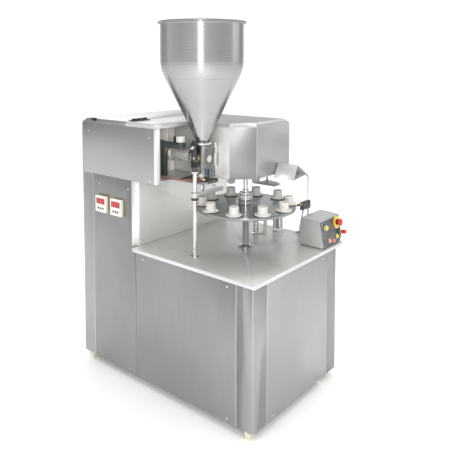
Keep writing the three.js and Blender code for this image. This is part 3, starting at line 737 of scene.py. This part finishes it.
def make_holders():
    """The ten turned nylon holders, each with two screws."""
    c = centre("turntable_plate")
    for k in range(1, 11):
        name = f"puck_{k}"
        b = box(name)
        m = centre(name)
        flange = (b.x1 - b.x0) / 2
        tall = b.z1 - b.z0
        turned_piece(f"tube_holder_{k}", NYLON, [
            (0, 0.0004), (flange - 0.002, 0.0004), (flange, 0.0020), (flange, 0.0050),
            (flange - 0.0012, 0.0060), (0.0320, 0.0064), (0.0276, 0.0088), (0.0266, 0.0140),
            (0.0262, 0.0260), (0.0256, 0.0268), (0.0256, 0.0280), (0.0262, 0.0288),
            (0.0258, tall - 0.003), (0.0250, tall - 0.0006), (0.0238, tall), (0.0197, tall),
            (0.0184, tall - 0.002), (0.0184, 0.0136), (0.0100, 0.0125), (0, 0.0125),
        ], (m.x, m.y, b.z0), UP, "turntable", name, segments=56, soft=0.0007, steps=2)
        out = m - c
        out.z = 0
        out.normalize()
        along = Vector((-out.y, out.x, 0))
        pair = Piece()
        for sign in (-1, 1):
            spot = m + along * (flange - 0.0075) * sign
            bolt(pair, (spot.x, spot.y, b.z0 + 0.006), UP, 0.0032, 0.0028)
        pair.make(f"tube_holder_{k}_bolts", CHROME, "turntable")


# ---- sealing and lifting --------------------------------------------------------

def make_sealing_heads():
    for k in (1, 2):
        name = f"sealing_head_{k}"
        b = box(name)
        c = centre(name)
        tall = b.z1 - b.z0
        head = Piece()
        head.turned([(0, 0.002), (0.009, 0.002), (0.009, 0), (0.015, 0), (0.0175, 0.003), (0.0175, 0.030),
                     (0.0165, 0.031), (0.0165, 0.034), (0.0175, 0.035), (0.0175, tall), (0, tall)],
                    (c.x, c.y, b.z0), segments=48)
        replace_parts(head.make(f"sealing_tool_{k}", CHROME, name), name)
        collar = Piece()
        collar.turned([(0.0176, 0.004), (0.0235, 0.004), (0.0240, 0.010), (0.0235, 0.024), (0.0176, 0.024)],
                      (c.x, c.y, b.z0), segments=48)
        collar.make(f"sealing_collar_{k}", NYLON, name)


def make_lifter():
    b = box("lifter_cylinder")
    c = centre("lifter_rod")
    tall = 0.1587
    foot = 0.024
    side = 0.022
    thick = 0.012
    turned_piece("lifter_barrel", CHROME, [
        (0, 0), (foot, 0), (foot, 0.008), (0.0165, 0.010), (0.0165, 0.024), (0.015, 0.026),
        (0.015, tall - 0.022), (0.0165, tall - 0.020), (0.0165, tall - 0.002),
        (0.0150, tall), (0.0065, tall), (0.0065, 0.040), (0, 0.040),
    ], (c.x, c.y, b.z0), node="lifter_cylinder", segments=48)
    guide = Piece()
    guide.block((b.x1 - side, b.y0, b.z0 + 0.0082), (b.x1, b.y0 + thick, b.z1), 0.0012)
    guide.block((c.x + foot + 0.0004, b.y0, b.z0), (b.x1, b.y0 + thick + 0.022, b.z0 + 0.008), 0.001)
    bolt(guide, (b.x1 - side / 2, b.y0 + thick + 0.012, b.z0 + 0.008), UP, 0.0035)
    # The guide bar takes the same warm tone, partly a painted reflection.
    guide.make("lifter_guide_bar", BARREL)
    r = box("lifter_rod")
    long = r.z1 - r.z0
    turned_piece("lifter_ram", CHROME, [
        (0, 0), (0.006, 0), (0.006, long - 0.016), (0.0085, long - 0.015), (0.0085, long - 0.011),
        (0.013, long - 0.010), (0.013, long - 0.001), (0.011, long), (0, long),
    ], (c.x, c.y, r.z0), UP, "lifter_rod", "lifter_rod", segments=40)


def make_clamp_cylinder_details():
    b = box("clamp_cylinder")
    caps = Piece()
    inset = 0.0005
    for z0, z1 in ((b.z0, b.z0 + 0.016), (b.z1 - 0.016, b.z1)):
        caps.block((b.x0 - inset, b.y0 - inset, z0), (b.x1 + inset, b.y1 + inset, z1), 0.002)
    for dx in (0.008, 0.038):
        for dy in (0.008, 0.038):
            bolt(caps, (b.x0 + dx, b.y0 + dy, b.z1), UP, 0.0035, 0.003)
    caps.make("clamp_cylinder_caps", BEZEL)


# ---- head -----------------------------------------------------------------------

def make_lid_hinges():
    """Each hinge: a leaf on the front roof, a leaf on the lid, and a knuckled barrel."""
    for side in ("left", "right"):
        b = box(f"lid_hinge_{side}")
        pivot = Vector(joints["rear_lid_swing"]["pos_m"])
        roof = box("rear_lid").z1
        radius = b.z1 - pivot.z
        long = b.x1 - b.x0
        fixed = Piece()
        fixed.block((b.x0, b.y0, roof + 0.0003), (b.x1, pivot.y - 0.002, roof + 0.0042), 0.0012)
        steps = [(0, 0)]
        for k in range(5):
            x0 = long * k / 5
            x1 = long * (k + 1) / 5
            steps += [(radius, x0 + 0.0006), (radius, x1 - 0.0006), (radius - 0.001, x1 - 0.0003)]
        steps[-1] = (radius - 0.001, long)
        fixed.turned([*steps, (0, long)], (b.x0, pivot.y, pivot.z), (1, 0, 0), segments=28, soft=0.0003)
        for x in (b.x0 + long * 0.2, b.x0 + long * 0.8):
            bolt(fixed, (x, b.y0 + 0.011, roof + 0.0042), UP, 0.004, 0.002)
        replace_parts(fixed.make(f"lid_hinge_{side}_fixed_leaf", BLACK), f"lid_hinge_{side}")
        moving = Piece()
        moving.block((b.x0, pivot.y + radius + 0.0012, roof), (b.x1, pivot.y + 0.032, roof + 0.004), 0.0012)
        for x in (b.x0 + long * 0.2, b.x0 + long * 0.8):
            bolt(moving, (x, pivot.y + 0.021, roof + 0.004), UP, 0.004, 0.002)
        moving.make(f"lid_hinge_{side}_lid_leaf", BLACK, "rear_lid")


def make_lid_catch():
    """A small lift tab on the left edge of the rear lid."""
    b = box("rear_lid")
    y = b.y0 + 0.30
    tab = Piece()
    tab.block((b.x0 + 0.004, y - 0.022, b.z1 - 0.001), (b.x0 + 0.030, y + 0.022, b.z1 + 0.003), 0.0015)
    tab.make("lid_lift_tab", BLACK, "rear_lid")


def make_recess_details():
    """Lining sheets with ribs on the walls behind the filling unit, light in colour as painted light in the
    shaded recess.
    """
    wall = box("column_front_panel")
    left = box("head_left_cover")
    wing = box("wing_cover")
    deck = box("head_deck")
    x0 = left.x1 + 0.003
    x1 = wing.x0 - 0.004
    top = left.z1 - 0.004
    bottom = deck.z1 + 0.0008
    lining = Piece()
    lining.block((x0, wall.y0 - 0.0030, bottom), (x1, wall.y0 - 0.0008, top), 0.0005)
    ribs = 6
    for k in range(ribs + 1):
        x = x0 + 0.02 + (x1 - x0 - 0.04) * k / ribs
        lining.block((x - 0.006, wall.y0 - 0.0075, bottom), (x + 0.006, wall.y0 - 0.0028, top), 0.0015)
    lining.make("recess_lining_sheet", LINER_PAINTED_LIGHT)

    jamb = Piece()
    depth = wall.y0 - left.y0 - 0.028
    jamb.block((x0, wall.y0 - depth, bottom), (x0 + 0.0022, wall.y0 - 0.004, top), 0.0005)
    jamb.make("recess_jamb_sheet", LINER_PAINTED_LIGHT)


def make_bracket_strip():
    """A folded strip beside the valve, with a zigzag edge and a bolted foot on the deck."""
    v = box("valve_body")
    deck = box("head_deck")
    wing = box("wing_cover")
    low = deck.z1
    edge = [(0.000, 0.000), (0.000, 0.062), (-0.010, 0.074), (-0.010, 0.128), (-0.002, 0.140),
            (-0.002, 0.168), (-0.008, 0.174), (-0.008, 0.196)]
    outline = [(x + 0.022, z) for x, z in reversed(edge)]
    upright = Matrix(((1, 0, 0, v.x1 + 0.005), (0, 0, -1, v.y0 - 0.004), (0, 1, 0, low), (0, 0, 0, 1)))
    strip = Piece()
    strip.raised([*edge, *outline], 0.0, 0.0025, 0.0008, upright)
    strip.block((v.x1 + 0.001, v.y0 - 0.034, low + 0.0002), (wing.x0 - 0.001, v.y0 - 0.004, low + 0.0032),
                0.001)
    bolt(strip, (v.x1 + 0.014, v.y0 - 0.020, low + 0.003), UP, 0.005, 0.004)
    for z in (0.030, 0.100, 0.156, 0.186):
        bolt(strip, (v.x1 + 0.012, v.y0 - 0.0065, low + z), (0, -1, 0), 0.0036, 0.0028)
    # The whole strip takes the lighter steel: painted sheen.
    strip.make("valve_side_bracket", STEEL_PAINTED_SHEEN)


def make_tube(name, points, radius, look, bend_radius=0.014):
    """Formed tubing or a short hose held between two fittings, from chosen corner points."""
    path = soften([Vector(p) for p in points], bend_radius, closed=False, steps=6)
    Piece().swept(path, radius).make(name, look)


def make_plumbing():
    """The short air hoses under the valve and along the deck, and the fittings at their ends."""
    v = box("valve_body")
    deck = box("head_deck")
    cylinder = box("air_cylinder")
    fill = centre("nozzle")
    low = deck.z1
    hose = (fill.x + 0.030, fill.y - 0.014)
    make_tube("blue_hose", [
        (*hose, v.z0 + 0.004), (*hose, v.z0 - 0.018), (hose[0] - 0.005, hose[1] - 0.004, low + 0.020),
        (hose[0] - 0.005, hose[1] - 0.004, low + 0.004)], 0.0036, BLUE_HOSE, 0.012)
    start = (v.x0 - 0.024, v.y0 - 0.020)
    make_tube("red_hose", [
        (*start, low + 0.009), (start[0] - 0.020, start[1] + 0.030, low + 0.006),
        (cylinder.x0 - 0.045, v.y0 + 0.07, low + 0.010), (cylinder.x0 - 0.050, v.y1 + 0.08, low + 0.005),
        (cylinder.x0 - 0.060, v.y1 + 0.19, low + 0.005)], 0.0026, RED_HOSE, 0.03)

    fittings = Piece()
    fittings.turned(sleeve_outline(0.0037, 0.0065, 0.010),
                    (*hose, v.z0 - 0.0102), UP, segments=6, soft=0.0004)
    fittings.turned(bar_outline(0.0075, 0.006),
                    (hose[0] - 0.005, hose[1] - 0.004, low + 0.0002), UP, segments=6, soft=0.0004)
    fittings.turned(bar_outline(0.0060, 0.012),
                    (start[0] + 0.008, start[1] - 0.008, low + 0.009), (-0.6, 0.75, 0), segments=24)
    fittings.make("hose_fittings", BRASS)

    knob = Piece()
    front = (fill.x - 0.037, fill.y - 0.036, low + 0.019)
    knob.turned([(0, 0), (0.0145, 0), (0.0145, 0.014), (0.0120, 0.017), (0.0060, 0.017), (0.0050, 0.012),
                 (0, 0.012)], (front[0], front[1] + 0.017, front[2]), (0, -1, 0), segments=40)
    knob.make("flow_knob", NYLON)
    centre_screw = Piece()
    centre_screw.turned(bar_outline(0.0048, 0.004),
                        (front[0], front[1] + 0.0047, front[2]), (0, -1, 0), segments=24)
    centre_screw.turned(bar_outline(0.007, 0.010),
                        (front[0], front[1] + 0.0275, front[2]), (0, -1, 0), segments=24)
    centre_screw.block((front[0] - 0.010, front[1] + 0.0276, low + 0.0002),
                       (front[0] + 0.010, front[1] + 0.0340, low + 0.030), 0.0012)
    centre_screw.make("flow_knob_mount", BRASS)

    valve_block = Piece()
    x = (cylinder.x0 + cylinder.x1) / 2
    top = cylinder.z1 + 0.0003
    valve_block.block((x - 0.016, cylinder.y0 + 0.004, top), (x + 0.018, cylinder.y0 + 0.040, top + 0.034),
                      0.002)
    valve_block.make("pilot_valve_body", BEZEL)
    coil = Piece()
    coil.block((x - 0.014, cylinder.y0 + 0.0405, top), (x + 0.016, cylinder.y0 + 0.062, top + 0.031), 0.003)
    coil.turned([(0, 0), (0.006, 0), (0.006, 0.008), (0.0045, 0.010), (0, 0.010)],
                (x, cylinder.y0 + 0.0622, top + 0.016), (0, 1, 0), segments=24)
    coil.make("pilot_valve_coil", BLACK)


def make_guard():
    """A plate with one rounded corner, hung under the deck in front of the sealing heads."""
    d = box("head_deck")
    c = centre("turntable_plate")
    x0 = c.x + 0.058
    x1 = c.x + 0.172
    y0 = d.y0 - 0.100
    y1 = d.y0 + 0.035
    z = d.z0 - 0.034
    corner = bend((x1, y1), (x1, y0), (x1 - 0.09, y0), 8)
    plate = Piece()
    plate.raised([*[(p.x, p.y) for p in corner], (x0, y0), (x0, y1)], z, z + 0.003, 0.0008)
    for x in (x0 + 0.014, x1 - 0.014):
        plate.turned(bar_outline(0.005, d.z0 - z - 0.0035),
                     (x, y1 - 0.014, z + 0.0032), UP, segments=24)
    plate.make("sealing_guard_plate", STEEL)


# ---- discharge ------------------------------------------------------------------

def make_chute_details():
    b = box("discharge_chute")
    lip = Piece()
    lip.block((b.x1 - 0.006, b.y0 - 0.001, b.z0 + 0.011), (b.x1 - 0.001, b.y0 + 0.004, b.z0 + 0.017), 0.001)
    lip.make("chute_lip", STEEL)

    r = box("chute_rod")
    table_top = box("table_top").z1
    x = r.x1 - 0.015
    y = (r.y0 + r.y1) / 2
    bar = soften([(x, y, table_top + 0.003), (x, y, r.z1 - 0.016), (b.x1 - 0.003, y, b.z0 + 0.0095)],
                 0.012, closed=False, steps=6)
    rod = Piece().swept(bar, 0.005, segments=20)
    rod.turned([(0, 0.0003), (0.015, 0.0003), (0.015, 0.004), (0.011, 0.007), (0.011, 0.016), (0, 0.016)],
               (x, y, table_top), UP, segments=40)
    bolt(rod, (x - 0.0105, y, table_top + 0.011), (-1, 0, 0), 0.0025, 0.0025)
    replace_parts(rod.make("chute_support_rod", CHROME), "chute_rod")


def make_sensor_details():
    b = box("index_sensor")
    y = (b.y0 + b.y1) / 2
    z = (b.z0 + b.z1) / 2 + 0.014
    nuts = Piece()
    for x in (b.x0 + 0.054, b.x0 + 0.036):
        nuts.turned(bar_outline(0.0095, 0.006), (x, y, z), (1, 0, 0),
                    segments=6, soft=0.0006)
    nuts.turned(bar_outline(0.0058, 0.004), (b.x0 - 0.0002, y, z), (1, 0, 0))
    for dz in (-0.028, -0.006):
        bolt(nuts, (b.x0 + 0.080, b.y0, z + dz), (0, -1, 0), 0.0035, 0.003)
    nuts.make("index_sensor_nuts", BRASS)

    table_top = box("table_top").z1
    stay = Piece()
    foot = Vector((b.x1 + 0.004, y + 0.070, table_top + 0.0012))
    head = Vector((b.x1 - 0.030, y + 0.016, b.z0 + 0.012))
    lean = head - foot
    stay.block((-0.009, -0.0015, 0), (0.009, 0.0015, lean.length), 0.0008, placed(foot, lean))
    stay.block((foot.x - 0.016, foot.y - 0.002, table_top + 0.0002),
               (foot.x + 0.012, foot.y + 0.018, table_top + 0.0032), 0.001)
    bolt(stay, (foot.x - 0.006, foot.y + 0.011, table_top + 0.003), UP, 0.003, 0.003)
    stay.make("index_sensor_stay", STEEL)


# ---- controls -------------------------------------------------------------------

PANEL_OUT = -Vector(joints["estop_press"]["axis"]).normalized()
PANEL_FOOT = 0.0057


def panel_place(at):
    """A frame on the control panel: X across, Y up the slope, Z out of the panel."""
    across = Vector((1, 0, 0))
    turn = Matrix((across, PANEL_OUT.cross(across), PANEL_OUT)).transposed().to_4x4()
    return Matrix.Translation(Vector(at)) @ turn


def on_panel(x, height):
    """A point on the sloping panel face, at x from its left end and height above the box's foot."""
    b = box("control_box")
    front = b.y0 + (height - PANEL_FOOT) * -PANEL_OUT.z / PANEL_OUT.y
    return Vector((b.x0 + x, front, b.z0 + height))


BUTTON_SEATS = {
    "estop_button": (0.179, 0.1137), "yellow_button": (0.049, 0.1077),
    "red_button": (0.116, 0.0237), "selector_knob": (0.190, 0.0577),
}


def panel_piece(name, look, at, outline, node=None, **how):
    """A turned piece on the control panel. A button takes the place of its CAD node, on its own body."""
    turned_piece(name, look, outline, at, PANEL_OUT, node or MACHINE, node, **how)


def make_buttons():
    seats = {name: on_panel(*place) for name, place in BUTTON_SEATS.items()}
    panel_piece("estop_mushroom", RED, seats["estop_button"], [
        (0, -0.024), (0.009, -0.024), (0.009, 0.010), (0.013, 0.013), (0.0200, 0.018), (0.0208, 0.024),
        (0.0195, 0.030), (0.0120, 0.0335), (0, 0.0340)], "estop_button", segments=56, soft=0.003)
    panel_piece("yellow_cap", YELLOW, seats["yellow_button"], [
        (0, -0.024), (0.010, -0.024), (0.010, 0.007), (0.0128, 0.0085), (0.0128, 0.0125),
        (0.0110, 0.0138), (0, 0.0132)], "yellow_button", segments=48, soft=0.0008)
    panel_piece("red_cap", PINK, seats["red_button"], [
        (0, -0.024), (0.007, -0.024), (0.007, 0.006), (0.009, 0.0075), (0.009, 0.0095),
        (0.0070, 0.0110), (0, 0.0106)], "red_button", segments=40, soft=0.0006)

    turned_piece("selector_shaft", CHROME, [
        (0, -0.024), (0.008, -0.024), (0.008, 0.009), (0.0112, 0.011), (0.0112, 0.024), (0, 0.024),
    ], seats["selector_knob"], PANEL_OUT, "selector_knob", segments=48)
    knob = Piece()
    knob.turned([(0, 0.0243), (0.0108, 0.0243), (0.0122, 0.030), (0.0125, 0.042), (0.0100, 0.0455),
                 (0, 0.0462)], seats["selector_knob"], PANEL_OUT, segments=48, soft=0.0015)
    knob.block((-0.0016, -0.0100, 0.0440), (0.0016, 0.0020, 0.0468), 0.0006,
               panel_place(seats["selector_knob"]))
    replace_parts(knob.make("selector_grip", RED, "selector_knob"), "selector_knob")

    rings = Piece()
    for name, (inner, outer, high) in {
            "yellow_button": (0.0135, 0.0170, 0.0060), "red_button": (0.0098, 0.0126, 0.0050)}.items():
        rings.turned([(inner, 0), (outer, 0), (outer, high - 0.002), (outer - 0.0015, high), (inner, high)],
                     seats[name], PANEL_OUT, segments=48, soft=0.0008)
    rings.make("button_rings", CHROME)

    panel_piece("estop_disc", YELLOW, seats["estop_button"], [
        (0.0100, 0), (0.0350, 0), (0.0350, 0.0012), (0.0338, 0.0020), (0.0100, 0.0020)],
        segments=64, soft=0.0004)
    panel_piece("estop_base", BLACK, seats["estop_button"], [
        (0.0100, 0.0022), (0.0165, 0.0022), (0.0155, 0.0065), (0.0100, 0.0065)], segments=56, soft=0.0006)
    panel_piece("selector_base", BLACK, seats["selector_knob"], [
        (0.0092, 0), (0.0165, 0), (0.0160, 0.0050), (0.0092, 0.0050)], segments=48, soft=0.0006)
    panel_piece("selector_ring", GREEN, seats["selector_knob"], [
        (0.0092, 0.0051), (0.0145, 0.0051), (0.0138, 0.0085), (0.0092, 0.0085)], segments=48, soft=0.0006)


def make_lamps():
    lamps = {
        "amber_lamp": (0.074, 0.0327, 0.0110, AMBER), "orange_lamp": (0.160, 0.0397, 0.0110, YELLOW),
        "white_lamp": (0.196, 0.0180, 0.0085, BEZEL), "dark_switch": (0.028, 0.1290, 0.0080, BLACK),
    }
    holders = Piece()
    for name, (x, height, radius, look) in lamps.items():
        at = on_panel(x, height)
        panel_piece(name, look, at, [
            (0, 0.0030), (radius, 0.0030), (radius, 0.0070), (radius * 0.75, 0.0100), (0, 0.0112)],
            segments=40, soft=0.0015)
        holders.turned([(0, 0), (radius + 0.0028, 0), (radius + 0.0028, 0.0025), (radius + 0.0010, 0.0036),
                        (0, 0.0036)], at, PANEL_OUT, segments=40, soft=0.0006)
    holders.make("lamp_holders", CHROME)


def paint_control_panel():
    """The sloping front face of the control box is a dark plate."""
    mesh = nodes["control_box"].data
    mesh.materials.append(PANEL.material)
    for polygon in mesh.polygons:
        if polygon.normal.dot(PANEL_OUT) > 0.995:
            polygon.material_index = 1


def make_control_box_details():
    b = box("control_box")
    screws = Piece()
    for x in (0.010, b.x1 - b.x0 - 0.010):
        for height in (0.016, 0.138):
            screw(screws, on_panel(x, height), PANEL_OUT, 0.0035)
    screws.make("control_box_screws", CHROME)

    turned_piece("control_box_gland", BLACK, [
        (0, 0), (0.011, 0), (0.011, 0.006), (0.0085, 0.008), (0.0085, 0.018), (0.006, 0.021), (0, 0.021),
    ], (b.x0 + 0.045, b.y1, b.z0 + 0.040), (0, 1, 0), segments=32)


SEGMENTS = {"0": "abcdef", "1": "bc", "2": "abged", "5": "afgcd", "8": "abcdefg"}


def add_digit(piece, digit, place, wide, tall, thick):
    """A seven-segment figure in the X and Y of place."""
    bars = {
        "a": (0, tall, wide, 0), "g": (0, tall / 2, wide, 0), "d": (0, 0, wide, 0),
        "f": (0, tall / 2, 0, tall / 2), "b": (wide, tall / 2, 0, tall / 2),
        "e": (0, 0, 0, tall / 2), "c": (wide, 0, 0, tall / 2),
    }
    for name in SEGMENTS[digit]:
        x, y, dx, dy = bars[name]
        margin = thick * 0.65
        low = (x - thick / 2 + (margin if dx else 0), y - thick / 2 + (margin if dy else 0), 0)
        high = (low[0] + dx + thick - 2 * (margin if dx else 0),
                low[1] + dy + thick - 2 * (margin if dy else 0), 0.0004)
        piece.block(low, high, 0.0001, place, segments=1)


def make_controllers():
    """Square panel instruments: raised rim, dark window with red figures, and two keys below."""
    readings = {"controller_1": "182", "controller_2": "205"}
    for name, reading in readings.items():
        b = box(name)
        c = centre(name)
        face = Matrix(((0, 0, -1, b.x0), (-1, 0, 0, c.y), (0, 1, 0, c.z), (0, 0, 0, 1)))
        half = (b.z1 - b.z0) / 2
        bezel = Piece()
        bezel.block((-half, -half, -0.0050), (half, half, 0), 0.0022, face, segments=3)
        bezel.block((-half + 0.004, -half + 0.004, -0.0002), (half - 0.004, -half + 0.008, 0.0004), 0.0003,
                    face)
        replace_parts(bezel.make(f"{name}_bezel", BEZEL), name)
        body = Piece()
        for inset, back, front in ((0.0008, -0.0195, -0.0051), (0.0030, -0.0880, -0.0200)):
            side = half - inset
            body.block((-side, -side, back), (side, side, front), 0.0015, face)
        body.make(f"{name}_case", EDGE)
        window = Piece()
        window.block((-0.038, 0.000, -0.0010), (0.038, 0.034, 0.0006), 0.0012, face, segments=3)
        window.make(f"{name}_window", WINDOW)
        figures = Piece()
        for k, digit in enumerate(reading):
            place = face @ Matrix.Translation((-0.027 + 0.021 * k, 0.0075, 0.00065))
            add_digit(figures, digit, place, 0.0115, 0.019, 0.0026)
        figures.make(f"{name}_figures", DIGITS)
        keys = Piece()
        for x in (-0.026, -0.006, 0.014):
            keys.block((x, -0.030, -0.0010), (x + 0.013, -0.020, 0.0012), 0.0008, face)
        keys.make(f"{name}_keys", BLACK)


# ---- surroundings ---------------------------------------------------------------

def make_floor():
    """A wide, pale floor under the machine."""
    reach = 14.0
    mesh = bpy.data.meshes.new("floor")
    bm = bmesh.new()
    bmesh.ops.create_circle(bm, cap_ends=True, radius=reach, segments=96)
    bm.to_mesh(mesh)
    bm.free()
    floor = bpy.data.objects.new("floor", mesh)
    surface = Surface("floor_paper", "floor")
    cloud = surface.noise((0.8, 0.8, 0.8), detail=2)
    surface.finish(surface.ramp(cloud, [(0.3, (0.90, 0.90, 0.90)), (0.7, (0.93, 0.93, 0.93))]),
                   surface.spread(cloud, 0.8, 0.9), cloud, 0.0001)
    mesh.materials.append(surface.material)
    bpy.context.scene.collection.objects.link(floor)


def add_ramp(tree, value, stops):
    ramp = tree.nodes.new("ShaderNodeValToRGB")
    while len(ramp.color_ramp.elements) < len(stops):
        ramp.color_ramp.elements.new(0.5)
    for element, (position, level) in zip(ramp.color_ramp.elements, stops):
        element.position = position
        element.color = (level, level, level, 1)
    tree.links.new(value, ramp.inputs["Fac"])
    return ramp.outputs["Color"]


# A Mix node's colour sockets share their names with its number sockets, so they go by place.
COLOUR_A = 6
COLOUR_B = 7
COLOUR_OUT = 2


def make_world():
    """A pale room with greyer corners for the steel to mirror. Everything else sees plain white."""
    world = bpy.data.worlds.new("studio")
    bpy.context.scene.world = world
    world.use_nodes = True
    tree = world.node_tree
    background = tree.nodes["Background"]
    coordinates = tree.nodes.new("ShaderNodeTexCoord")
    facing = tree.nodes.new("ShaderNodeVectorMath")
    facing.operation = "DOT_PRODUCT"
    facing.inputs[1].default_value = (-0.77, -0.64, 0)
    tree.links.new(coordinates.outputs["Generated"], facing.inputs[0])
    shift = tree.nodes.new("ShaderNodeMapRange")
    shift.inputs["From Min"].default_value = -1
    tree.links.new(facing.outputs["Value"], shift.inputs["Value"])
    around = add_ramp(tree, shift.outputs["Result"], [
        (0.0, 0.98), (0.04, 0.90), (0.12, 0.55), (0.31, 0.60), (0.41, 0.95), (0.59, 0.76), (0.80, 0.68),
        (0.93, 0.78), (1.0, 0.90)])
    split = tree.nodes.new("ShaderNodeSeparateXYZ")
    tree.links.new(coordinates.outputs["Generated"], split.inputs["Vector"])
    upward = add_ramp(tree, split.outputs["Z"], [(0.0, 0.86), (0.25, 0.92), (0.7, 1.0), (1.0, 1.0)])
    both = tree.nodes.new("ShaderNodeMix")
    both.data_type = "RGBA"
    both.blend_type = "MULTIPLY"
    both.inputs["Factor"].default_value = 1
    tree.links.new(around, both.inputs[COLOUR_A])
    tree.links.new(upward, both.inputs[COLOUR_B])
    rays = tree.nodes.new("ShaderNodeLightPath")
    plain = tree.nodes.new("ShaderNodeMath")
    plain.operation = "ADD"
    plain.use_clamp = True
    tree.links.new(rays.outputs["Is Camera Ray"], plain.inputs[0])
    tree.links.new(rays.outputs["Is Diffuse Ray"], plain.inputs[1])
    paper = tree.nodes.new("ShaderNodeMix")
    paper.data_type = "RGBA"
    paper.inputs[COLOUR_B].default_value = (1.2, 1.2, 1.2, 1)
    tree.links.new(plain.outputs["Value"], paper.inputs["Factor"])
    tree.links.new(both.outputs[COLOUR_OUT], paper.inputs[COLOUR_A])
    tree.links.new(paper.outputs[COLOUR_OUT], background.inputs["Color"])


def add_light(name, at, target, size, power, mirrored=True):
    light = bpy.data.lights.new(name, "AREA")
    light.shape = "RECTANGLE"
    light.size, light.size_y = size
    light.energy = power
    obj = bpy.data.objects.new(name, light)
    obj.location = at
    aim = Vector(target) - Vector(at)
    obj.rotation_euler = aim.to_track_quat("-Z", "Y").to_euler()
    obj.visible_glossy = mirrored
    bpy.context.scene.collection.objects.link(obj)


def make_lights():
    add_light("top", (0.2, -0.2, 4.4), (0, 0, 1.0), (4.0, 4.0), 45)
    add_light("strip", (-3.70, -2.88, 2.0), (0, 0, 1.4), (0.28, 2.6), 42)
    add_light("right", (3.6, -2.6, 2.6), (0, 0, 0.8), (2.4, 2.4), 10)
    add_light("back", (2.5, 4.0, 3.4), (0, 0, 1.2), (2.0, 2.0), 25)
    add_light("front", (-3.4, -3.4, 1.9), (0, 0, 1.2), (1.8, 1.8), 78, mirrored=False)


def make_camera():
    heading = -50.43
    looking_down = 3.69
    camera = bpy.data.cameras.new("camera")
    camera.lens = 45.25
    camera.sensor_width = 36
    camera.shift_y = -0.2813
    camera.clip_end = 100
    obj = bpy.data.objects.new("camera", camera)
    obj.location = (-2.476, -2.1576, 1.817)
    obj.rotation_euler = (math.radians(90 - looking_down), 0, math.radians(heading))
    bpy.context.scene.collection.objects.link(obj)
    bpy.context.scene.camera = obj


# ---- build ----------------------------------------------------------------------

make_camera()
paint_control_panel()
for node, sides in {
        "left_panel": ["left"], "cabinet_left_panel": ["left"], "front_panel": ["front"],
        "right_side_cover": ["right"], "rear_cover": ["back", "right"],
        "head_rear_cover": ["back"], "head_left_cover": ["left"]}.items():
    for side in sides:
        panel_screws(node, side)
make_hopper()
make_valve_details()
make_nozzle()
make_dosing()
make_air_cylinder_details()
make_front_post()
make_turntable()
make_holders()
make_sealing_heads()
make_lifter()
make_clamp_cylinder_details()
make_lid_hinges()
make_lid_catch()
make_recess_details()
make_bracket_strip()
make_plumbing()
make_guard()
make_chute_details()
make_sensor_details()
make_buttons()
make_lamps()
make_control_box_details()
make_controllers()
make_floor()
make_world()
make_lights()
bpy.context.scene.view_settings.view_transform = "Standard"
